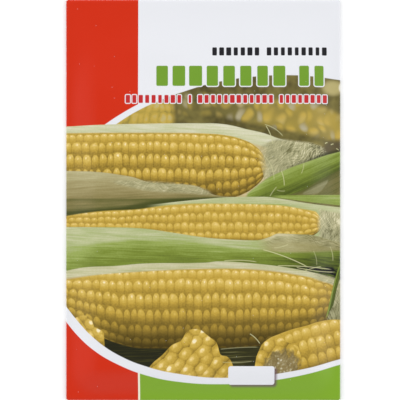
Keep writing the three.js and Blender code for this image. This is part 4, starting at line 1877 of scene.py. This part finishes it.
@dataclass
class SeedBatch:
    """The loose seed, one piece for each."""

    wrinkle: float = 0.13 * MM
    dent: float = 0.25 * MM  # depth of the hollow in the broad end
    swell: float = 1.07  # makes good what subdivision takes away
    room: float = 0.02 * MM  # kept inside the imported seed's box

    def shape(self, name: str, number: int) -> bpy.types.Object:
        """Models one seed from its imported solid: rounded, wrinkled, and kept inside the solid's box.

        Args:
            name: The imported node's name.
            number: Picks the wrinkles.

        Returns:
            The new piece.
        """
        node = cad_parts[name]
        piece = bpy.data.objects.new(f"dried_{name}", node.data.copy())
        bpy.context.collection.objects.link(piece)
        piece.data.materials.clear()
        make_active(piece)
        bpy.ops.object.mode_set(mode="EDIT")
        bpy.ops.mesh.select_all(action="SELECT")
        bpy.ops.mesh.remove_doubles(threshold=0.001 * MM)
        bpy.ops.mesh.tris_convert_to_quads()
        bpy.ops.object.mode_set(mode="OBJECT")
        apply_modifier(piece, "SUBSURF", levels=2, render_levels=2)

        low, high = (np.array(corner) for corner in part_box(name))
        middle = (low + high) / 2
        offset = places(piece) - middle
        along = self.long_way(offset)
        side = np.array((along[1], -along[0], 0.0))
        half_length, half_width = np.abs(offset @ along).max(), np.abs(offset @ side).max()
        kernel = np.column_stack((offset @ side / half_width, offset @ along / half_length,
                                  offset[:, 2] / np.abs(offset[:, 2]).max()))
        store(piece, KERNEL, kernel)
        across, up, top = kernel.T
        creases = ripples(across * 3.2 * MM, up * 1.3 * MM + top * MM, 0.9 * MM, number)
        dent = np.exp(-(across ** 2 + (up - 0.55) ** 2) * 5.0) * (top > 0)
        growth = (self.wrinkle * creases - self.dent * dent) / np.linalg.norm(offset, axis=1)
        shaped = middle + offset * self.swell * (1.0 + growth[:, None])
        move_to(piece, np.clip(shaped, low + self.room, high - self.room))
        return piece

    def long_way(self, offset: np.ndarray) -> np.ndarray:
        """Finds which way a seed points: along its length, towards its broad end.

        Args:
            offset: The seed's points, measured from its middle.

        Returns:
            The direction, as a unit vector.
        """
        flat = offset[:, :2]
        _, ways = np.linalg.eigh(flat.T @ flat)
        along = np.array((*ways[:, 1], 0.0))
        side = np.array((along[1], -along[0], 0.0))
        far = offset @ along > 0.3 * np.abs(offset @ along).max()
        near = offset @ along < -0.3 * np.abs(offset @ along).max()
        broad_ahead = np.abs(offset[far] @ side).max() > np.abs(offset[near] @ side).max()
        return along if broad_ahead else -along

    def make(self) -> None:
        """Makes every seed."""
        finish = DrySeed().make()
        names = node_names("seed_")
        for number, name in enumerate(names):
            piece = self.shape(name, number)
            piece.data.materials.append(finish)
            make_active(piece)
            bpy.ops.object.shade_smooth()
            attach(piece, "root")
            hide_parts(name)
        log.info("seeds: %d pieces", len(names))


@dataclass
class GlueFilms:
    """The three dried glue films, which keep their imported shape."""

    def dress(self) -> None:
        """Gives the films their finish."""
        finish = DriedGlue().make()
        for name in sorted(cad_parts):
            if name.endswith("_glue"):
                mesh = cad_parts[name].data
                mesh.materials.clear()
                mesh.materials.append(finish)
                log.info("%s: dressed", name)


# ---- The studio ----


@dataclass(frozen=True)
class Softbox:
    """A soft square light that shines on the packet."""

    name: str
    place: tuple[float, float, float]
    size: float
    power: float
    mirrored: bool = True  # whether gloss shows it


@dataclass
class Studio:
    """A pale floor, soft light from the sides, and a camera that looks straight down."""

    lens: float = 135.0
    sensor: float = 36.0
    left_of_middle: float = 1.54 * MM  # how far the camera stands to the left of the packet's middle
    daylight: float = 1.045  # strength of the light that comes from all sides
    overhead: float = 0.3  # share of it that comes from straight above, where gloss would mirror it
    dark_from: float = 0.75  # how far up that part starts, as the sine of its height
    floor_size: float = 6.0
    floor_drop: float = 0.1 * MM  # from the packet's underside to the floor
    floor_shades: tuple[float, float] = (0.93, 0.95)
    boxes: tuple[Softbox, ...] = (
        Softbox("left_softbox", (-1.5, 0.4, 0.6), 0.9, 9.0, mirrored=False),
        Softbox("right_softbox", (1.5, -0.2, 0.6), 0.9, 8.0),
        Softbox("back_softbox", (0.0, 1.7, 0.7), 0.9, 8.0, mirrored=False),
    )

    def make_floor(self) -> None:
        """Makes the pale floor."""
        deselect()
        bpy.ops.mesh.primitive_plane_add(size=self.floor_size, location=(0.0, 0.0, -self.floor_drop))
        floor = bpy.context.object
        floor.name = "studio_floor"
        material, board, shader = new_material("studio_floor")
        place = board.node("ShaderNodeTexCoord").outputs["Object"]
        x, y, _ = board.split(place)
        cloud = board.noise(x, y, scale=3.0)
        dark, light = ((shade, shade, shade, 1.0) for shade in self.floor_shades)
        paint = board.over(dark, cloud, light)
        board.feed(shader.inputs["Base Color"], paint)
        shader.inputs["Roughness"].default_value = 0.95
        shader.inputs["Specular IOR Level"].default_value = 0.1
        floor.data.materials.append(material)

    def make_lights(self) -> None:
        """Makes the softboxes and the soft light all round."""
        world = bpy.data.worlds.new("studio_light")
        world.use_nodes = True
        board = Board(world.node_tree)
        _, _, up = board.split(board.node("ShaderNodeTexCoord").outputs["Generated"])
        background = world.node_tree.nodes["Background"]
        background.inputs["Color"].default_value = (0.985, 0.99, 1.0, 1.0)
        overhead = up.eased(self.dark_from, 1.0)
        board.feed(background.inputs["Strength"], self.daylight * (1.0 - (1.0 - self.overhead) * overhead))
        bpy.context.scene.world = world
        for box in self.boxes:
            lamp = bpy.data.lights.new(box.name, "AREA")
            lamp.size = box.size
            lamp.energy = box.power
            light = bpy.data.objects.new(box.name, lamp)
            light.location = box.place
            light.visible_glossy = box.mirrored
            light.rotation_euler = (-Vector(box.place)).to_track_quat("-Z", "Y").to_euler()
            bpy.context.scene.collection.objects.link(light)

    def make_camera(self) -> None:
        """Makes the camera: the packet's height fills the picture."""
        low, high = CAD_BOUNDS
        camera = bpy.data.objects.new("camera", bpy.data.cameras.new("camera"))
        camera.data.lens = self.lens
        camera.data.sensor_width = self.sensor
        away = (high.y - low.y) * self.lens / self.sensor
        camera.location = (-self.left_of_middle, 0.0, away)
        camera.data.clip_end = 20.0
        bpy.context.scene.collection.objects.link(camera)
        bpy.context.scene.camera = camera

    def make(self) -> None:
        """Makes the studio."""
        self.make_floor()
        self.make_lights()
        self.make_camera()
        bpy.context.scene.view_settings.view_transform = "Standard"
        log.info("studio: ready")


def main() -> None:
    """Builds the packet's looks and its studio."""
    logging.basicConfig(level=logging.INFO, format="%(message)s")
    Studio().make()
    Envelope().make()
    SeedBatch().make()
    GlueFilms().dress()


if __name__ == "__main__":
    main()
